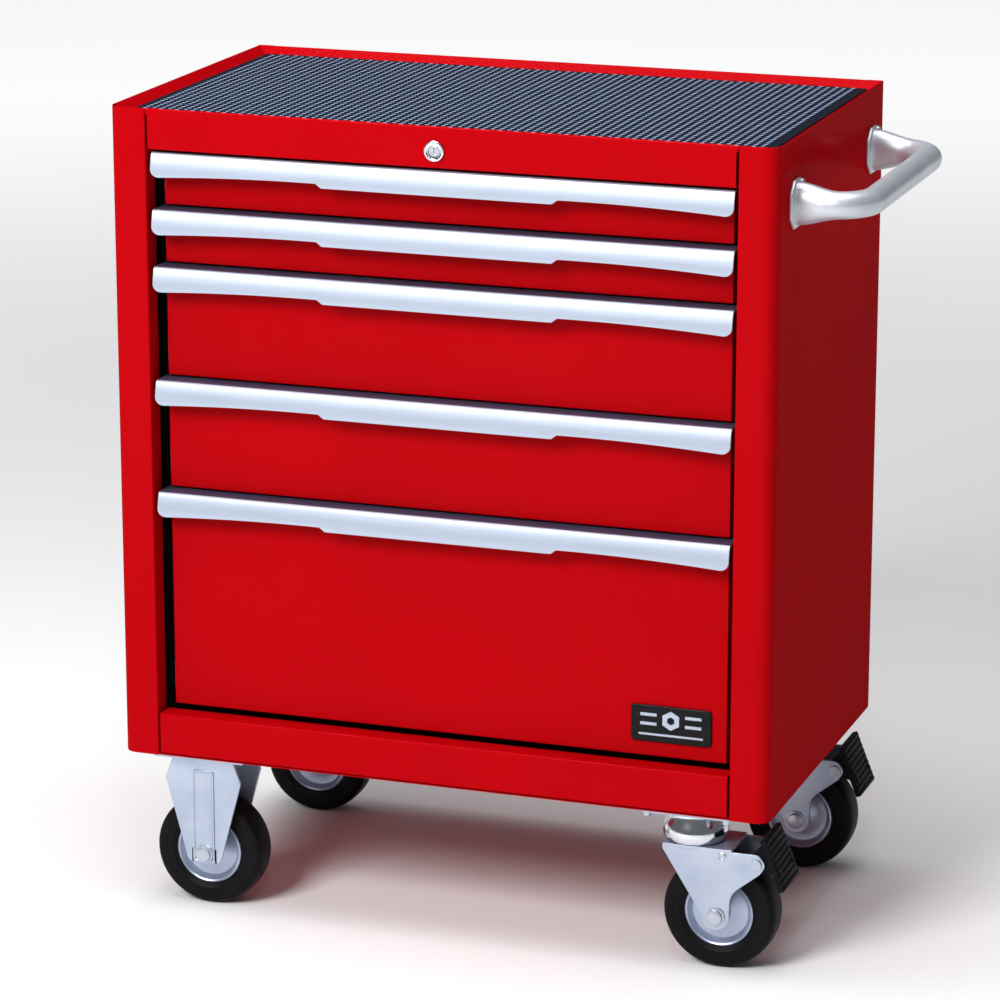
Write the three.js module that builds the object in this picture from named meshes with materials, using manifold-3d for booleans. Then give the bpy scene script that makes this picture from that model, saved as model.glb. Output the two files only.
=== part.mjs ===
// A roller tool cabinet: a folded sheet-steel body with five ball-bearing drawers, a matted tray top,
// a central lock, a push handle on the right side, two fixed casters and two braked swivel casters.
// Millimetres, +Z up, the drawers open towards -Y. The origin is the middle of the footprint, on the floor.
import * as THREE from "three";
import { mergeVertices } from "three/addons/utils/BufferGeometryUtils.js";
import Module from "manifold-3d";

const wasm = await Module();
wasm.setup();

// ---- Driving dimensions -------------------------------------------------------------------------

// Cabinet body, above the casters
const bodyWidth = 730;
const bodyDepth = 420;
const sheet = 1.2;
const touch = 0.3;
const bend = 2;
const past = 1;

// Front columns and rear flanges, folded out of the side panels
const columnWidth = 42;
const columnRadius = 15;
const columnReturn = 24;
const rearFlange = 18;

// Front rails between the columns
const railSeam = 2.4;
const topRailHeight = 43.5;
const topRailWeld = 6;
const bottomRailLift = 2.5;
const bottomRailTop = 47.8;
const railHem = 4;
const railHemDrop = 8;
const hemBend = 1.8;
const railReturn = 22;
const ledgeLip = 12;

// Tray top and its mat
const trayDepth = 10;
const trayRim = 10;
const trayFlange = 22;
const matGap = 2.5;
const matThickness = 2.7;
const matCorner = 3;

// Bottom pan
const panFlange = 18;

// Drawers, from the top one down
const drawerPitches = [61.6, 61.6, 123.3, 123.3, 245.5];
const drawerGap = 2.7;
const topDrawerGap = 3.2;
const bottomDrawerGap = 5.9;
const drawerRecess = 25;
const drawerFrontDepth = 12;
const drawerSideGap = 10.7;
const drawerWall = 1;
const drawerBoxInset = 3;
const drawerBoxDrop = 10;
const drawerBoxLift = 4;
const drawerRearRoom = 22;

// Pulls along the top edge of each drawer front
const pullWall = 2.4;
const pullFront = 0.3;
const pullEdgeSet = 4;
const pullRound = 2.6;
const pullBackInset = 1;
const pullSideGap = 4.5;
const pullEndDrop = 26.4;
const pullArchDrop = 21.4;
const pullMiddleDrop = 26;
const pullMiddleHalf = 126;
const pullStep = 6;
const pullCorner = 9;
const pullArchTop = 20.6;
const pullCrown = 16;
const pullCrownSet = 1;
const pullCrownDrop = 8;

// Three-part ball-bearing slides
const slideWall = 1.2;
const slideBallRoom = 1.8;
const slideOuterHeight = 35;
const slideFromBoxFloor = 23;
const slideMemberDepth = 7.4;
const slideFrontGap = 2;
const slideRearGap = 28;
const postWidth = 30;
const postInset = 20;
const postFootGap = 1.2;
const slideInset = 1;

// Lock, its long rod and crank, and the bar that catches the drawers
const lockBelowTop = 25.2;
const lockBezelRadius = 11;
const lockBarrelRadius = 9;
const lockPlugRadius = 6;
const lockBezelThickness = 3;
const lockBarrelLength = 20;
const lockRodRadius = 3;
const crankArm = 11;
const crankHalfWidth = 4;
const crankPinRadius = 2.5;
const crankThickness = 3;
const runningGap = 0.7;
const keywayWidth = 1.8;
const keywayHeight = 7.6;
const keywayDepth = 8;
const plugRecess = 0.8;
const lockBarWidth = 30;
const lockBarWall = 1.5;
const guideWidth = 3;
const guideHook = 2.4;
const guideHeight = 24;
const catchWidth = 24;
const catchLip = 8;
const catchRoom = 8;
const catchLift = 2;

// Push handle
const handleTube = 14;
const handleWall = 2;
const handleReach = 72;
const handleBend = 40;
const handleBelowTop = 67;
const handleFrontInset = 62;
const handleRearInset = 48;
const handleFlare = 1.42;
const handleFlareLength = 44;
const handlePlateWidth = 45;
const handlePlateHeight = 50;
const handlePlateThickness = 3;
const handlePlateCorner = 5;

// Plain nameplate on the bottom drawer
const plateWidth = 88;
const plateHeight = 40;
const plateThickness = 2.5;
const plateFromRight = 16;
const plateLift = 16;
const plateCorner = 4;

// Wheels and casters
const wheelRadius = 62.5;
const tyreWidth = 38;
const tyreClearance = 10.6;
const treadHalf = 8;
const rimRadius = 38;
const rimDish = 11;
const rimLip = 3;
const tyreShoulder = 4;
const hubRadius = 11;
const hubGap = 1;
const wheelSegments = 24;
const axleRadius = 5;
const axleClearance = 0.4;
const axleHeadWidth = 17;
const axleHeadThickness = 6;
const axleBoss = 10.5;
const forkWidth = 60;
const forkWall = 3;
const fixedLegTop = 34;
const fixedLegShoulder = 44.4;
const fixedLegShoulderDrop = 31;
const fixedLegTip = 18.6;
const swivelLegBack = 28;
const swivelLegFront = 48;
const swivelBoss = 15;
const swivelWaist = 26;
const topPlateLength = 104;
const topPlateWidth = 84;
const topPlateThickness = 4;
const casterInsetY = 50;
const fixedCasterInsetX = 85;
const swivelCasterInsetX = 92;
const swivelTrail = 31;
const racewayDepth = 35;
const racewayRadius = 35;
const racewayNeck = 6;
const racewayWall = 3;
const racewayLip = 5;
const kingpinRadius = 6;
const kingpinHeadRadius = 11;
const kingpinHeadThickness = 4;

// Brake pedal of a swivel caster, in the caster's own frame
const pedalWidth = 62;
const pedalThickness = 6;
const pedalPivotX = 75;
const pedalPivotDrop = 53;
const pedalPinRadius = 4;
const pedalPinHead = 2;
const pedalEar = 11;
const pedalCheek = 4;
const pedalRise = 29;
const pedalFall = 26;
const pedalTopReach = 9;
const pedalFootReach = 31;

// ---- Derived places -----------------------------------------------------------------------------

const drawerStack = drawerPitches.reduce((sum, pitch) => sum + pitch, 0) - drawerGap;
const bodyHeight = bottomRailTop + bottomDrawerGap + drawerStack + topDrawerGap + topRailHeight;
const halfWidth = bodyWidth / 2;
const columnInner = halfWidth - columnWidth;
const insideHalf = halfWidth - sheet - touch;
const trayFloorTop = bodyHeight - trayDepth;
const trayHalf = insideHalf - trayRim;
const backPanelFront = bodyDepth - 2 * sheet - touch;
const insideBack = backPanelFront - touch;
const railBottom = bodyHeight - topRailHeight;
const lockHeight = bodyHeight - lockBelowTop;
const drawerHalf = columnInner - drawerSideGap;
const boxBack = bodyDepth - drawerRearRoom;
const boxHalf = drawerHalf - drawerBoxInset;
const slideFront = drawerRecess + drawerFrontDepth + slideFrontGap;
const slideBack = bodyDepth - slideRearGap;
const handleHeight = bodyHeight - handleBelowTop;

// ---- Shape helpers ------------------------------------------------------------------------------

// Points of an outline or path whose corners are given as [u, v, radius].
function rounded(corners, steps = 3) {
  const count = corners.length;
  return corners.flatMap(([u, v, radius = 0], i) => {
    const here = new THREE.Vector2(u, v);
    if (radius === 0) return [here];
    const previous = corners[(i + count - 1) % count];
    const next = corners[(i + 1) % count];
    const back = new THREE.Vector2(previous[0], previous[1]).sub(here).normalize();
    const ahead = new THREE.Vector2(next[0], next[1]).sub(here).normalize();
    const half = Math.acos(THREE.MathUtils.clamp(back.dot(ahead), -1, 1)) / 2;
    const reach = radius / Math.tan(half);
    const centre = back.clone().add(ahead).normalize().multiplyScalar(radius / Math.sin(half)).add(here);
    const first = back.clone().multiplyScalar(reach).add(here).sub(centre);
    const last = ahead.clone().multiplyScalar(reach).add(here).sub(centre);
    const turn = Math.atan2(first.cross(last), first.dot(last));
    const origin = new THREE.Vector2();
    return Array.from({ length: steps + 1 }, (_, k) =>
      first.clone().rotateAround(origin, (turn * k) / steps).add(centre)
    );
  });
}

// The outline of a rectangle with four like corners.
function roundedBox(u0, u1, v0, v1, radius) {
  return rounded([[u0, v0, radius], [u1, v0, radius], [u1, v1, radius], [u0, v1, radius]]);
}

// Unit normal to the left of the way from one point to the next.
function leftNormal(from, to) {
  return new THREE.Vector2(from.y - to.y, to.x - from.x).normalize();
}

// Closed section of a folded sheet: the path is one face, and the metal lies to its left,
// or to its right where the thickness is negative.
function foldedSheet(path, thickness) {
  const otherFace = path.map((here, i) => {
    const normals = [];
    if (i > 0) normals.push(leftNormal(path[i - 1], here));
    if (i < path.length - 1) normals.push(leftNormal(here, path[i + 1]));
    const mean = normals.reduce((sum, n) => sum.add(n), new THREE.Vector2()).normalize();
    return mean.multiplyScalar(thickness / mean.dot(normals[0])).add(here);
  });
  return [...path, ...otherFace.reverse()];
}

// A closed manifold solid from a three.js geometry.
function solid(geometry) {
  const bare = new THREE.BufferGeometry();
  bare.setAttribute("position", geometry.getAttribute("position"));
  if (geometry.index) bare.setIndex(geometry.index);
  const merged = mergeVertices(bare, 1e-4);
  const points = Float32Array.from(merged.getAttribute("position").array);
  const kept = [];
  let sixVolumes = 0;
  const corner = (k) => new THREE.Vector3().fromArray(points, 3 * k);
  for (let i = 0; i < merged.index.count; i += 3) {
    const [a, b, c] = [0, 1, 2].map((k) => merged.index.getX(i + k));
    if (a === b || b === c || c === a) continue;
    kept.push([a, b, c]);
    sixVolumes += corner(a).dot(corner(b).cross(corner(c)));
  }
  const facingOut = sixVolumes > 0 ? kept : kept.map(([a, b, c]) => [a, c, b]);
  const triVerts = Uint32Array.from(facingOut.flat());
  return new wasm.Manifold(new wasm.Mesh({ numProp: 3, vertProperties: points, triVerts }));
}

function extruded(outline, depth) {
  const shape = outline instanceof THREE.Shape ? outline : new THREE.Shape(outline);
  return new THREE.ExtrudeGeometry(shape, { depth, bevelEnabled: false, curveSegments: 6 });
}

// An outline in (y, z), extruded from x0 to x1.
function alongX(outline, x0, x1) {
  const turn = new THREE.Matrix4().makeBasis(
    new THREE.Vector3(0, 1, 0), new THREE.Vector3(0, 0, 1), new THREE.Vector3(1, 0, 0)
  );
  return solid(extruded(outline, x1 - x0).applyMatrix4(turn).translate(x0, 0, 0));
}

// An outline in (x, z), extruded from y0 to y1.
function alongY(outline, y0, y1) {
  const turn = new THREE.Matrix4().makeBasis(
    new THREE.Vector3(1, 0, 0), new THREE.Vector3(0, 0, 1), new THREE.Vector3(0, -1, 0)
  );
  return solid(extruded(outline, y1 - y0).applyMatrix4(turn).translate(0, y1, 0));
}

// An outline in (x, y), extruded from z0 to z1.
function alongZ(outline, z0, z1) {
  return solid(extruded(outline, z1 - z0).translate(0, 0, z0));
}

function box(x0, x1, y0, y1, z0, z1) {
  const geometry = new THREE.BoxGeometry(x1 - x0, y1 - y0, z1 - z0);
  return solid(geometry.translate((x0 + x1) / 2, (y0 + y1) / 2, (z0 + z1) / 2));
}

// A closed profile of [radius, height] points, turned about Z.
function turnedZ(profile, segments) {
  const points = [...profile, profile[0]].map(([r, h]) => new THREE.Vector2(r, h));
  return solid(new THREE.LatheGeometry(points, segments).rotateX(Math.PI / 2));
}

// The same, turned about Y, with a flat facet facing straight down.
function turnedY(profile, segments) {
  const points = [...profile, profile[0]].map(([r, h]) => new THREE.Vector2(r, h));
  return solid(new THREE.LatheGeometry(points, segments, Math.PI / segments));
}

// A plain round bar along Y or Z.
function barY(radius, y0, y1, x, z, sides = 16) {
  const geometry = new THREE.CylinderGeometry(radius, radius, y1 - y0, sides);
  return solid(geometry.translate(x, (y0 + y1) / 2, z));
}

function barZ(radius, z0, z1, x, y, sides = 16) {
  const geometry = new THREE.CylinderGeometry(radius, radius, z1 - z0, sides);
  return solid(geometry.rotateX(Math.PI / 2).translate(x, y, (z0 + z1) / 2));
}

function joined(...solids) {
  return solids.reduce((whole, next) => whole.add(next));
}

// The outline on the other side of the YZ plane where side is -1.
function sided(points, side) {
  return points.map((p) => new THREE.Vector2(side * p.x, p.y));
}

// A box given by its distances from the middle, on the side given.
function sidedBox(side, x0, x1, y0, y1, z0, z1) {
  return side > 0 ? box(x0, x1, y0, y1, z0, z1) : box(-x1, -x0, y0, y1, z0, z1);
}

// ---- Materials ----------------------------------------------------------------------------------

function finish(color, roughness, metalness) {
  return new THREE.MeshStandardMaterial({ color, roughness, metalness, flatShading: true });
}

const redPaint = finish(0xc8101c, 0.25, 0.1);
const silverAluminium = finish(0xd4d8de, 0.35, 0.8);
const zincPlate = finish(0xb4bccb, 0.3, 0.9);
const satinSteel = finish(0x9aa2ad, 0.35, 0.9);
const chromePlate = finish(0xc9ced6, 0.12, 1);
const slideSteel = finish(0xa8adb5, 0.35, 0.8);
const matRubber = finish(0x3f4858, 0.85, 0);
const tyreRubber = finish(0x0c0c0e, 0.7, 0);
const pedalPlastic = finish(0x101114, 0.55, 0);
const plateBlack = finish(0x0d0d10, 0.3, 0.2);

function piece(name, shape, material) {
  const { vertProperties, triVerts } = shape.getMesh();
  const geometry = new THREE.BufferGeometry();
  geometry.setAttribute("position", new THREE.BufferAttribute(vertProperties, 3));
  geometry.setIndex(new THREE.BufferAttribute(triVerts, 1));
  const mesh = new THREE.Mesh(geometry, material);
  mesh.name = name;
  return mesh;
}

// ---- Body ---------------------------------------------------------------------------------------

// One sheet: the side wall, the rounded front column with its return, and the rear flange.
function sidePanel(side) {
  const path = rounded([
    [columnInner, columnReturn],
    [columnInner, 0, bend],
    [halfWidth, 0, columnRadius],
    [halfWidth, bodyDepth, bend],
    [halfWidth - rearFlange, bodyDepth],
  ], 4);
  const panel = alongZ(sided(foldedSheet(path, sheet), side), 0, bodyHeight);
  const trayNotch = sidedBox(
    side, columnInner - past, columnInner + sheet + touch, bend, columnReturn + past,
    trayFloorTop - sheet - touch, bodyHeight + past
  );
  return panel.subtract(trayNotch);
}

// The tray top: a floor with sloping rims on the left, right and back, and flanges down inside the walls.
function trayTop() {
  const rimStart = columnRadius + bend;
  const rimPath = (outer) => [
    new THREE.Vector2(outer, bodyHeight - trayFlange),
    new THREE.Vector2(outer, bodyHeight),
    new THREE.Vector2(outer - trayRim, trayFloorTop),
  ];
  const sideRim = foldedSheet(rimPath(insideHalf), sheet);
  const backRim = foldedSheet(rimPath(insideBack), sheet);
  const floorHalf = trayHalf + sheet / 2;
  const floorBack = insideBack - trayRim + sheet / 2;
  return joined(
    box(-floorHalf, floorHalf, railHem + matGap / 2, floorBack, trayFloorTop - sheet, trayFloorTop),
    alongY(sideRim, rimStart, insideBack),
    alongY(sided(sideRim, -1), rimStart, insideBack),
    alongX(backRim, -insideHalf, insideHalf)
  );
}

function trayMat() {
  const x = trayHalf - matGap;
  const y0 = railHem + matGap;
  const y1 = insideBack - trayRim - matGap;
  const outline = roundedBox(-x, x, y0, y1, matCorner);
  return alongZ(outline, trayFloorTop + touch, trayFloorTop + touch + matThickness);
}

// The top rail has a hemmed upper edge, a return under it, and the hole for the lock.
function topRail() {
  const section = foldedSheet(rounded([
    [columnReturn, railBottom],
    [0, railBottom, bend],
    [0, bodyHeight, hemBend],
    [railHem, bodyHeight, hemBend],
    [railHem, bodyHeight - railHemDrop],
  ]), -sheet);
  const seam = columnInner - railSeam;
  const weld = columnInner - touch;
  const weldBottom = bodyHeight - topRailWeld;
  const frontView = joined(
    box(-seam, seam, -past, columnReturn + past, railBottom - past, bodyHeight + past),
    box(-weld, weld, -past, columnReturn + past, weldBottom, bodyHeight + past)
  );
  const lockHole = barY(lockBarrelRadius + touch, -past, columnReturn, 0, lockHeight);
  return alongX(section, -weld, weld).intersect(frontView).subtract(lockHole);
}

function bottomRail() {
  const ledgeBack = drawerRecess - touch;
  const section = foldedSheet(rounded([
    [railReturn, bottomRailLift],
    [0, bottomRailLift, bend],
    [0, bottomRailTop, bend],
    [ledgeBack, bottomRailTop, bend],
    [ledgeBack, bottomRailTop - ledgeLip],
  ]), -sheet);
  const reach = columnInner - railSeam;
  return alongX(section, -reach, reach);
}

function bottomPan() {
  const top = sheet + panFlange;
  const sideStart = columnReturn + past;
  return joined(
    box(-insideHalf, insideHalf, sideStart, insideBack, 0, sheet),
    box(-columnInner + touch, columnInner - touch, sheet + touch, sideStart + past, 0, sheet),
    box(-insideHalf, -insideHalf + sheet, sideStart, insideBack, 0, top),
    box(insideHalf - sheet, insideHalf, sideStart, insideBack, 0, top),
    box(-insideHalf, insideHalf, insideBack - sheet, insideBack, 0, top)
  );
}

// Heights of each drawer: the top of its pull and the bottom of its front.
const drawers = [];
let drawerTop = railBottom - topDrawerGap;
for (const pitch of drawerPitches) {
  const bottom = drawerTop - pitch + drawerGap;
  const boxFloor = bottom + drawerBoxLift;
  drawers.push({ top: drawerTop, bottom, boxFloor, slide: boxFloor + slideFromBoxFloor });
  drawerTop -= pitch;
}

// Lock bar travel: the crank swings from 45 degrees above level to 45 degrees below.
const crankRise = crankArm * Math.SQRT1_2;
const barPlane = boxBack + catchRoom + sheet + runningGap + 2 * touch;

// A rear panel, with two guides that hold the lock bar upright.
function backPanel() {
  const plate = box(-insideHalf, insideHalf, backPanelFront, backPanelFront + sheet, 0, bodyHeight);
  const guideFeet = [drawers.at(-1), drawers[2]].map(({ slide }) => slide + slideOuterHeight);
  const innerX = lockBarWidth / 2 + runningGap;
  const outerX = innerX + guideWidth;
  const hookBack = barPlane - 2 * touch;
  const hookFront = hookBack - sheet;
  const guides = guideFeet.flatMap((z) => [-1, 1].flatMap((side) => [
    sidedBox(side, innerX, outerX, hookFront, backPanelFront + sheet / 2, z, z + guideHeight),
    sidedBox(side, innerX - guideHook, outerX, hookFront, hookBack, z, z + guideHeight),
  ]));
  return joined(plate, ...guides);
}

// Folded sheet in the shape of a C, open towards the middle of the cabinet, as one slide member.
function slideChannel(side, baseOuter, openInner, halfHeight, z, y0, y1) {
  const path = [
    new THREE.Vector2(openInner, z - halfHeight),
    new THREE.Vector2(baseOuter, z - halfHeight),
    new THREE.Vector2(baseOuter, z + halfHeight),
    new THREE.Vector2(openInner, z + halfHeight),
  ];
  return alongY(sided(foldedSheet(path, slideWall), side), y0, y1);
}

const outerHalf = slideOuterHeight / 2;
const middleHalf = outerHalf - slideWall - slideBallRoom;
const innerHalf = middleHalf - slideWall - slideBallRoom;
const outerBase = columnInner - touch;
const middleBase = outerBase - slideWall - slideBallRoom;
const innerReach = middleBase - slideWall - slideBallRoom;

// Two folded posts against the side wall, with the five fixed slide channels welded on them.
function slideRack(side) {
  const foot = sheet + panFlange + postFootGap;
  const head = railBottom - sheet;
  const posts = [slideFront + postInset, slideBack - postInset - postWidth].map((y) => {
    const path = [
      new THREE.Vector2(insideHalf, y),
      new THREE.Vector2(outerBase, y),
      new THREE.Vector2(outerBase, y + postWidth),
      new THREE.Vector2(insideHalf, y + postWidth),
    ];
    return alongZ(sided(foldedSheet(path, -sheet), side), foot, head);
  });
  const channels = drawers.map(({ slide }) =>
    slideChannel(
      side, outerBase + sheet / 6, outerBase - slideMemberDepth, outerHalf, slide, slideFront, slideBack
    )
  );
  return joined(...posts, ...channels);
}

function middleSlide(side, { slide }) {
  return slideChannel(
    side, middleBase, middleBase - slideMemberDepth, middleHalf, slide,
    slideFront + slideInset, slideBack - 2 * slideInset
  );
}

// ---- Drawers ------------------------------------------------------------------------------------

// A drawer: its hollow front, open-topped box, two inner slide members, and the catch at its back.
function drawerBody({ top, bottom, boxFloor, slide }) {
  const frontTop = top - pullWall - touch;
  const frontBack = drawerRecess + drawerFrontDepth;
  const front = box(-drawerHalf, drawerHalf, drawerRecess, frontBack, bottom, frontTop).subtract(box(
    -drawerHalf + sheet, drawerHalf - sheet, drawerRecess + sheet, frontBack - drawerWall,
    bottom - past, frontTop - sheet
  ));
  const boxTop = top - drawerBoxDrop;
  const tub = box(-boxHalf, boxHalf, frontBack - drawerWall, boxBack, boxFloor, boxTop).subtract(box(
    -boxHalf + drawerWall, boxHalf - drawerWall, frontBack, boxBack - drawerWall,
    boxFloor + drawerWall, boxTop + past
  ));
  const members = [-1, 1].map((side) => {
    const wallFace = boxHalf - drawerWall / 2;
    const path = [
      new THREE.Vector2(innerReach, slide - innerHalf),
      new THREE.Vector2(wallFace, slide - innerHalf),
      new THREE.Vector2(wallFace, slide + innerHalf),
      new THREE.Vector2(innerReach, slide + innerHalf),
    ];
    return alongY(sided(foldedSheet(path, -slideWall), side), slideFront + slideInset, slideBack - 4 * slideInset);
  });
  const catchHalf = catchWidth / 2;
  const catchFloor = boxFloor + catchLift;
  const lipBack = boxBack + catchRoom + sheet;
  const catchPlate = joined(
    box(-catchHalf, catchHalf, boxBack - drawerWall / 2, lipBack, catchFloor, catchFloor + sheet),
    box(-catchHalf, catchHalf, lipBack - sheet, lipBack, catchFloor, catchFloor + catchLip)
  );
  return joined(front, tub, ...members, catchPlate);
}

// A full-width extruded pull: a flat ledge on the drawer front and a curved lip that hangs before it.
function drawerPull({ top }) {
  const ledgeBack = drawerRecess + drawerFrontDepth - pullBackInset;
  const section = foldedSheet(rounded([
    [ledgeBack, top],
    [pullFront + pullEdgeSet, top, pullRound],
    [pullFront + pullCrownSet, top - pullCrownDrop, pullCrown],
    [pullFront, top - pullEndDrop - past],
  ]), pullWall);
  const half = columnInner - pullSideGap;
  const flatEnd = half - pullCorner;
  const stepEnd = pullMiddleHalf + pullStep;
  const archX = (flatEnd + stepEnd) / 2;
  const archZ = top - pullArchTop;
  const face = new THREE.Shape();
  face.moveTo(-half, top + past);
  face.lineTo(-half, top - pullEndDrop + pullCorner);
  face.absarc(-flatEnd, top - pullEndDrop + pullCorner, pullCorner, Math.PI, Math.PI * 1.5);
  face.quadraticCurveTo(-archX, archZ, -stepEnd, top - pullArchDrop);
  face.lineTo(-pullMiddleHalf, top - pullMiddleDrop);
  face.lineTo(pullMiddleHalf, top - pullMiddleDrop);
  face.lineTo(stepEnd, top - pullArchDrop);
  face.quadraticCurveTo(archX, archZ, flatEnd, top - pullEndDrop);
  face.absarc(flatEnd, top - pullEndDrop + pullCorner, pullCorner, Math.PI * 1.5, Math.PI * 2);
  face.lineTo(half, top + past);
  return alongX(section, -half, half).intersect(alongY(face, -past, ledgeBack + past));
}

function nameplate({ bottom }) {
  const x1 = drawerHalf - plateFromRight;
  const x0 = x1 - plateWidth;
  const z0 = bottom + plateLift;
  const outline = roundedBox(x0, x1, z0, z0 + plateHeight, plateCorner);
  return alongY(outline, drawerRecess - touch - plateThickness, drawerRecess - touch);
}

// ---- Lock ---------------------------------------------------------------------------------------

const bezelFront = -touch - lockBezelThickness;
const crankFront = barPlane - runningGap - crankThickness;

function lockBarrel() {
  return joined(
    barY(lockBezelRadius, bezelFront, -touch, 0, lockHeight, 32),
    barY(lockBarrelRadius, -touch - past, lockBarrelLength, 0, lockHeight, 24)
  ).subtract(barY(lockPlugRadius + touch, bezelFront - past, lockBarrelLength + past, 0, lockHeight, 24));
}

function lockPlug() {
  const plugFront = bezelFront + plugRecess;
  const keyway = box(
    -keywayWidth / 2, keywayWidth / 2, plugFront - past, plugFront + keywayDepth,
    lockHeight - keywayHeight / 2, lockHeight + keywayHeight / 2
  );
  return barY(lockPlugRadius, plugFront, lockBarrelLength + past, 0, lockHeight, 24).subtract(keyway);
}

// A round rod from the plug to the back, with a crank arm and pin on its end.
function lockRod() {
  const [pinX, pinZ] = [crankRise, lockHeight + crankRise];
  const armSide = crankHalfWidth * Math.SQRT1_2;
  const arm = alongY([
    new THREE.Vector2(-armSide, lockHeight + armSide),
    new THREE.Vector2(armSide, lockHeight - armSide),
    new THREE.Vector2(pinX + armSide, pinZ - armSide),
    new THREE.Vector2(pinX - armSide, pinZ + armSide),
  ], crankFront, crankFront + crankThickness);
  return joined(
    barY(lockRodRadius, lockBarrelLength + past + touch, crankFront + past, 0, lockHeight),
    arm,
    barY(crankPinRadius, crankFront + past, barPlane + lockBarWall + 2 * past, pinX, pinZ)
  );
}

// The upright bar that the crank lowers: a slotted head and one hooked tab for each drawer.
function lockBar() {
  const half = lockBarWidth / 2;
  const tabHalf = catchWidth / 2;
  const tabFront = boxBack + (catchRoom - sheet) / 2;
  const pinZ = lockHeight + crankRise;
  const slotReach = crankPinRadius + runningGap;
  const headTop = pinZ + slotReach + 2 * sheet;
  const headBottom = pinZ - slotReach - 4 * sheet;
  const headRight = crankArm + slotReach + 2 * sheet;
  const barBack = barPlane + lockBarWall;
  const strip = box(-half, half, barPlane, barBack, drawers.at(-1).boxFloor, headTop);
  const widerHead = box(half - past, headRight, barPlane, barBack, headBottom, headTop);
  const slot = box(
    crankRise - slotReach, crankArm + slotReach, barPlane - past, barBack + past,
    pinZ - slotReach, pinZ + slotReach
  );
  const tabs = drawers.flatMap(({ boxFloor }) => {
    const lipTop = boxFloor + catchLift + catchLip;
    const tabFloor = lipTop + 2 * crankRise + runningGap;
    const tabTop = tabFloor + sheet;
    return [
      box(-tabHalf, tabHalf, tabFront, barPlane + lockBarWall / 2, tabFloor, tabTop),
      box(-tabHalf, tabHalf, tabFront, tabFront + sheet, tabFloor - catchLip + catchLift, tabTop),
    ];
  });
  return joined(strip, widerHead, ...tabs).subtract(slot);
}

// ---- Push handle --------------------------------------------------------------------------------

const handleFeet = [handleFrontInset, bodyDepth - handleRearInset];

// The points of one bend of the handle, a quarter circle in the level plane of the grip.
function quarter(cx, cy, startAngle, endAngle) {
  const arc = new THREE.EllipseCurve(cx, cy, handleBend, handleBend, startAngle, endAngle, false);
  return arc.getPoints(5).map((p) => new THREE.Vector3(p.x, p.y, handleHeight));
}

// A tube whose two ends spread into wider, taller feet against the side panel.
function flaredTube(radius, sides, overrun) {
  const wallX = halfWidth + touch - overrun;
  const gripX = halfWidth + handleReach;
  const [y0, y1] = handleFeet;
  const at = (x, y) => new THREE.Vector3(x, y, handleHeight);
  const footSteps = [0, 0.25, 0.5, 0.75];
  const feet = footSteps.map((share) => wallX + share * (gripX - handleBend - wallX));
  const route = [
    ...feet.map((x) => at(x, y0)),
    ...quarter(gripX - handleBend, y0 + handleBend, -Math.PI / 2, 0),
    ...quarter(gripX - handleBend, y1 - handleBend, 0, Math.PI / 2),
    ...feet.toReversed().map((x) => at(x, y1)),
  ];
  const ring = new THREE.EllipseCurve(0, 0, radius, radius).getPoints(sides).slice(0, sides);
  const tube = sweep(ring, route);
  const places = tube.getAttribute("position");
  for (let i = 0; i < places.count; i += 1) {
    const out = (places.getX(i) - halfWidth) / handleFlareLength;
    const share = THREE.MathUtils.clamp(1 - out, 0, 1);
    const stretch = 1 + (handleFlare - 1) * share * share;
    const armY = places.getY(i) < (y0 + y1) / 2 ? y0 : y1;
    places.setZ(i, handleHeight + (places.getZ(i) - handleHeight) * stretch);
    places.setY(i, armY + (places.getY(i) - armY) * (out < 1 ? stretch : 1));
  }
  return solid(tube);
}

// A closed sweep of a section along a level route, with a ring at every route point.
function sweep(section, route) {
  const rings = route.map((here, i) => {
    const before = route[Math.max(i - 1, 0)];
    const after = route[Math.min(i + 1, route.length - 1)];
    const arriving = leftNormal(i > 0 ? before : here, i > 0 ? here : after);
    const leaving = leftNormal(i + 1 < route.length ? here : before, i + 1 < route.length ? after : here);
    const mean = arriving.clone().add(leaving).normalize();
    const mitred = mean.clone().divideScalar(mean.dot(arriving));
    const aside = new THREE.Vector3(mitred.x, mitred.y, 0);
    return section.map((p) => here.clone().addScaledVector(aside, p.x).add(new THREE.Vector3(0, 0, p.y)));
  });
  const count = section.length;
  const triangles = [];
  for (let r = 0; r + 1 < rings.length; r += 1) {
    for (let k = 0; k < count; k += 1) {
      const [a, b] = [r * count + k, r * count + ((k + 1) % count)];
      triangles.push(a, b, b + count, a, b + count, a + count);
    }
  }
  for (let k = 1; k + 1 < count; k += 1) {
    const last = (rings.length - 1) * count;
    triangles.push(0, k + 1, k, last, last + k, last + k + 1);
  }
  const geometry = new THREE.BufferGeometry().setFromPoints(rings.flat());
  geometry.setIndex(triangles);
  return geometry;
}

// A bent tube with flared ends, welded on two foot plates.
function pushHandle() {
  const [halfPlateY, halfPlateZ] = [handlePlateWidth / 2, handlePlateHeight / 2];
  const plateBack = halfWidth + touch;
  const plates = handleFeet.map((y) => alongX(
    roundedBox(
      y - halfPlateY, y + halfPlateY, handleHeight - halfPlateZ, handleHeight + halfPlateZ, handlePlateCorner
    ),
    plateBack, plateBack + handlePlateThickness
  ));
  const outside = joined(flaredTube(handleTube, 12, 0), ...plates);
  return outside.subtract(flaredTube(handleTube - handleWall, 8, 2 * past));
}

// ---- Casters ------------------------------------------------------------------------------------

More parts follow.
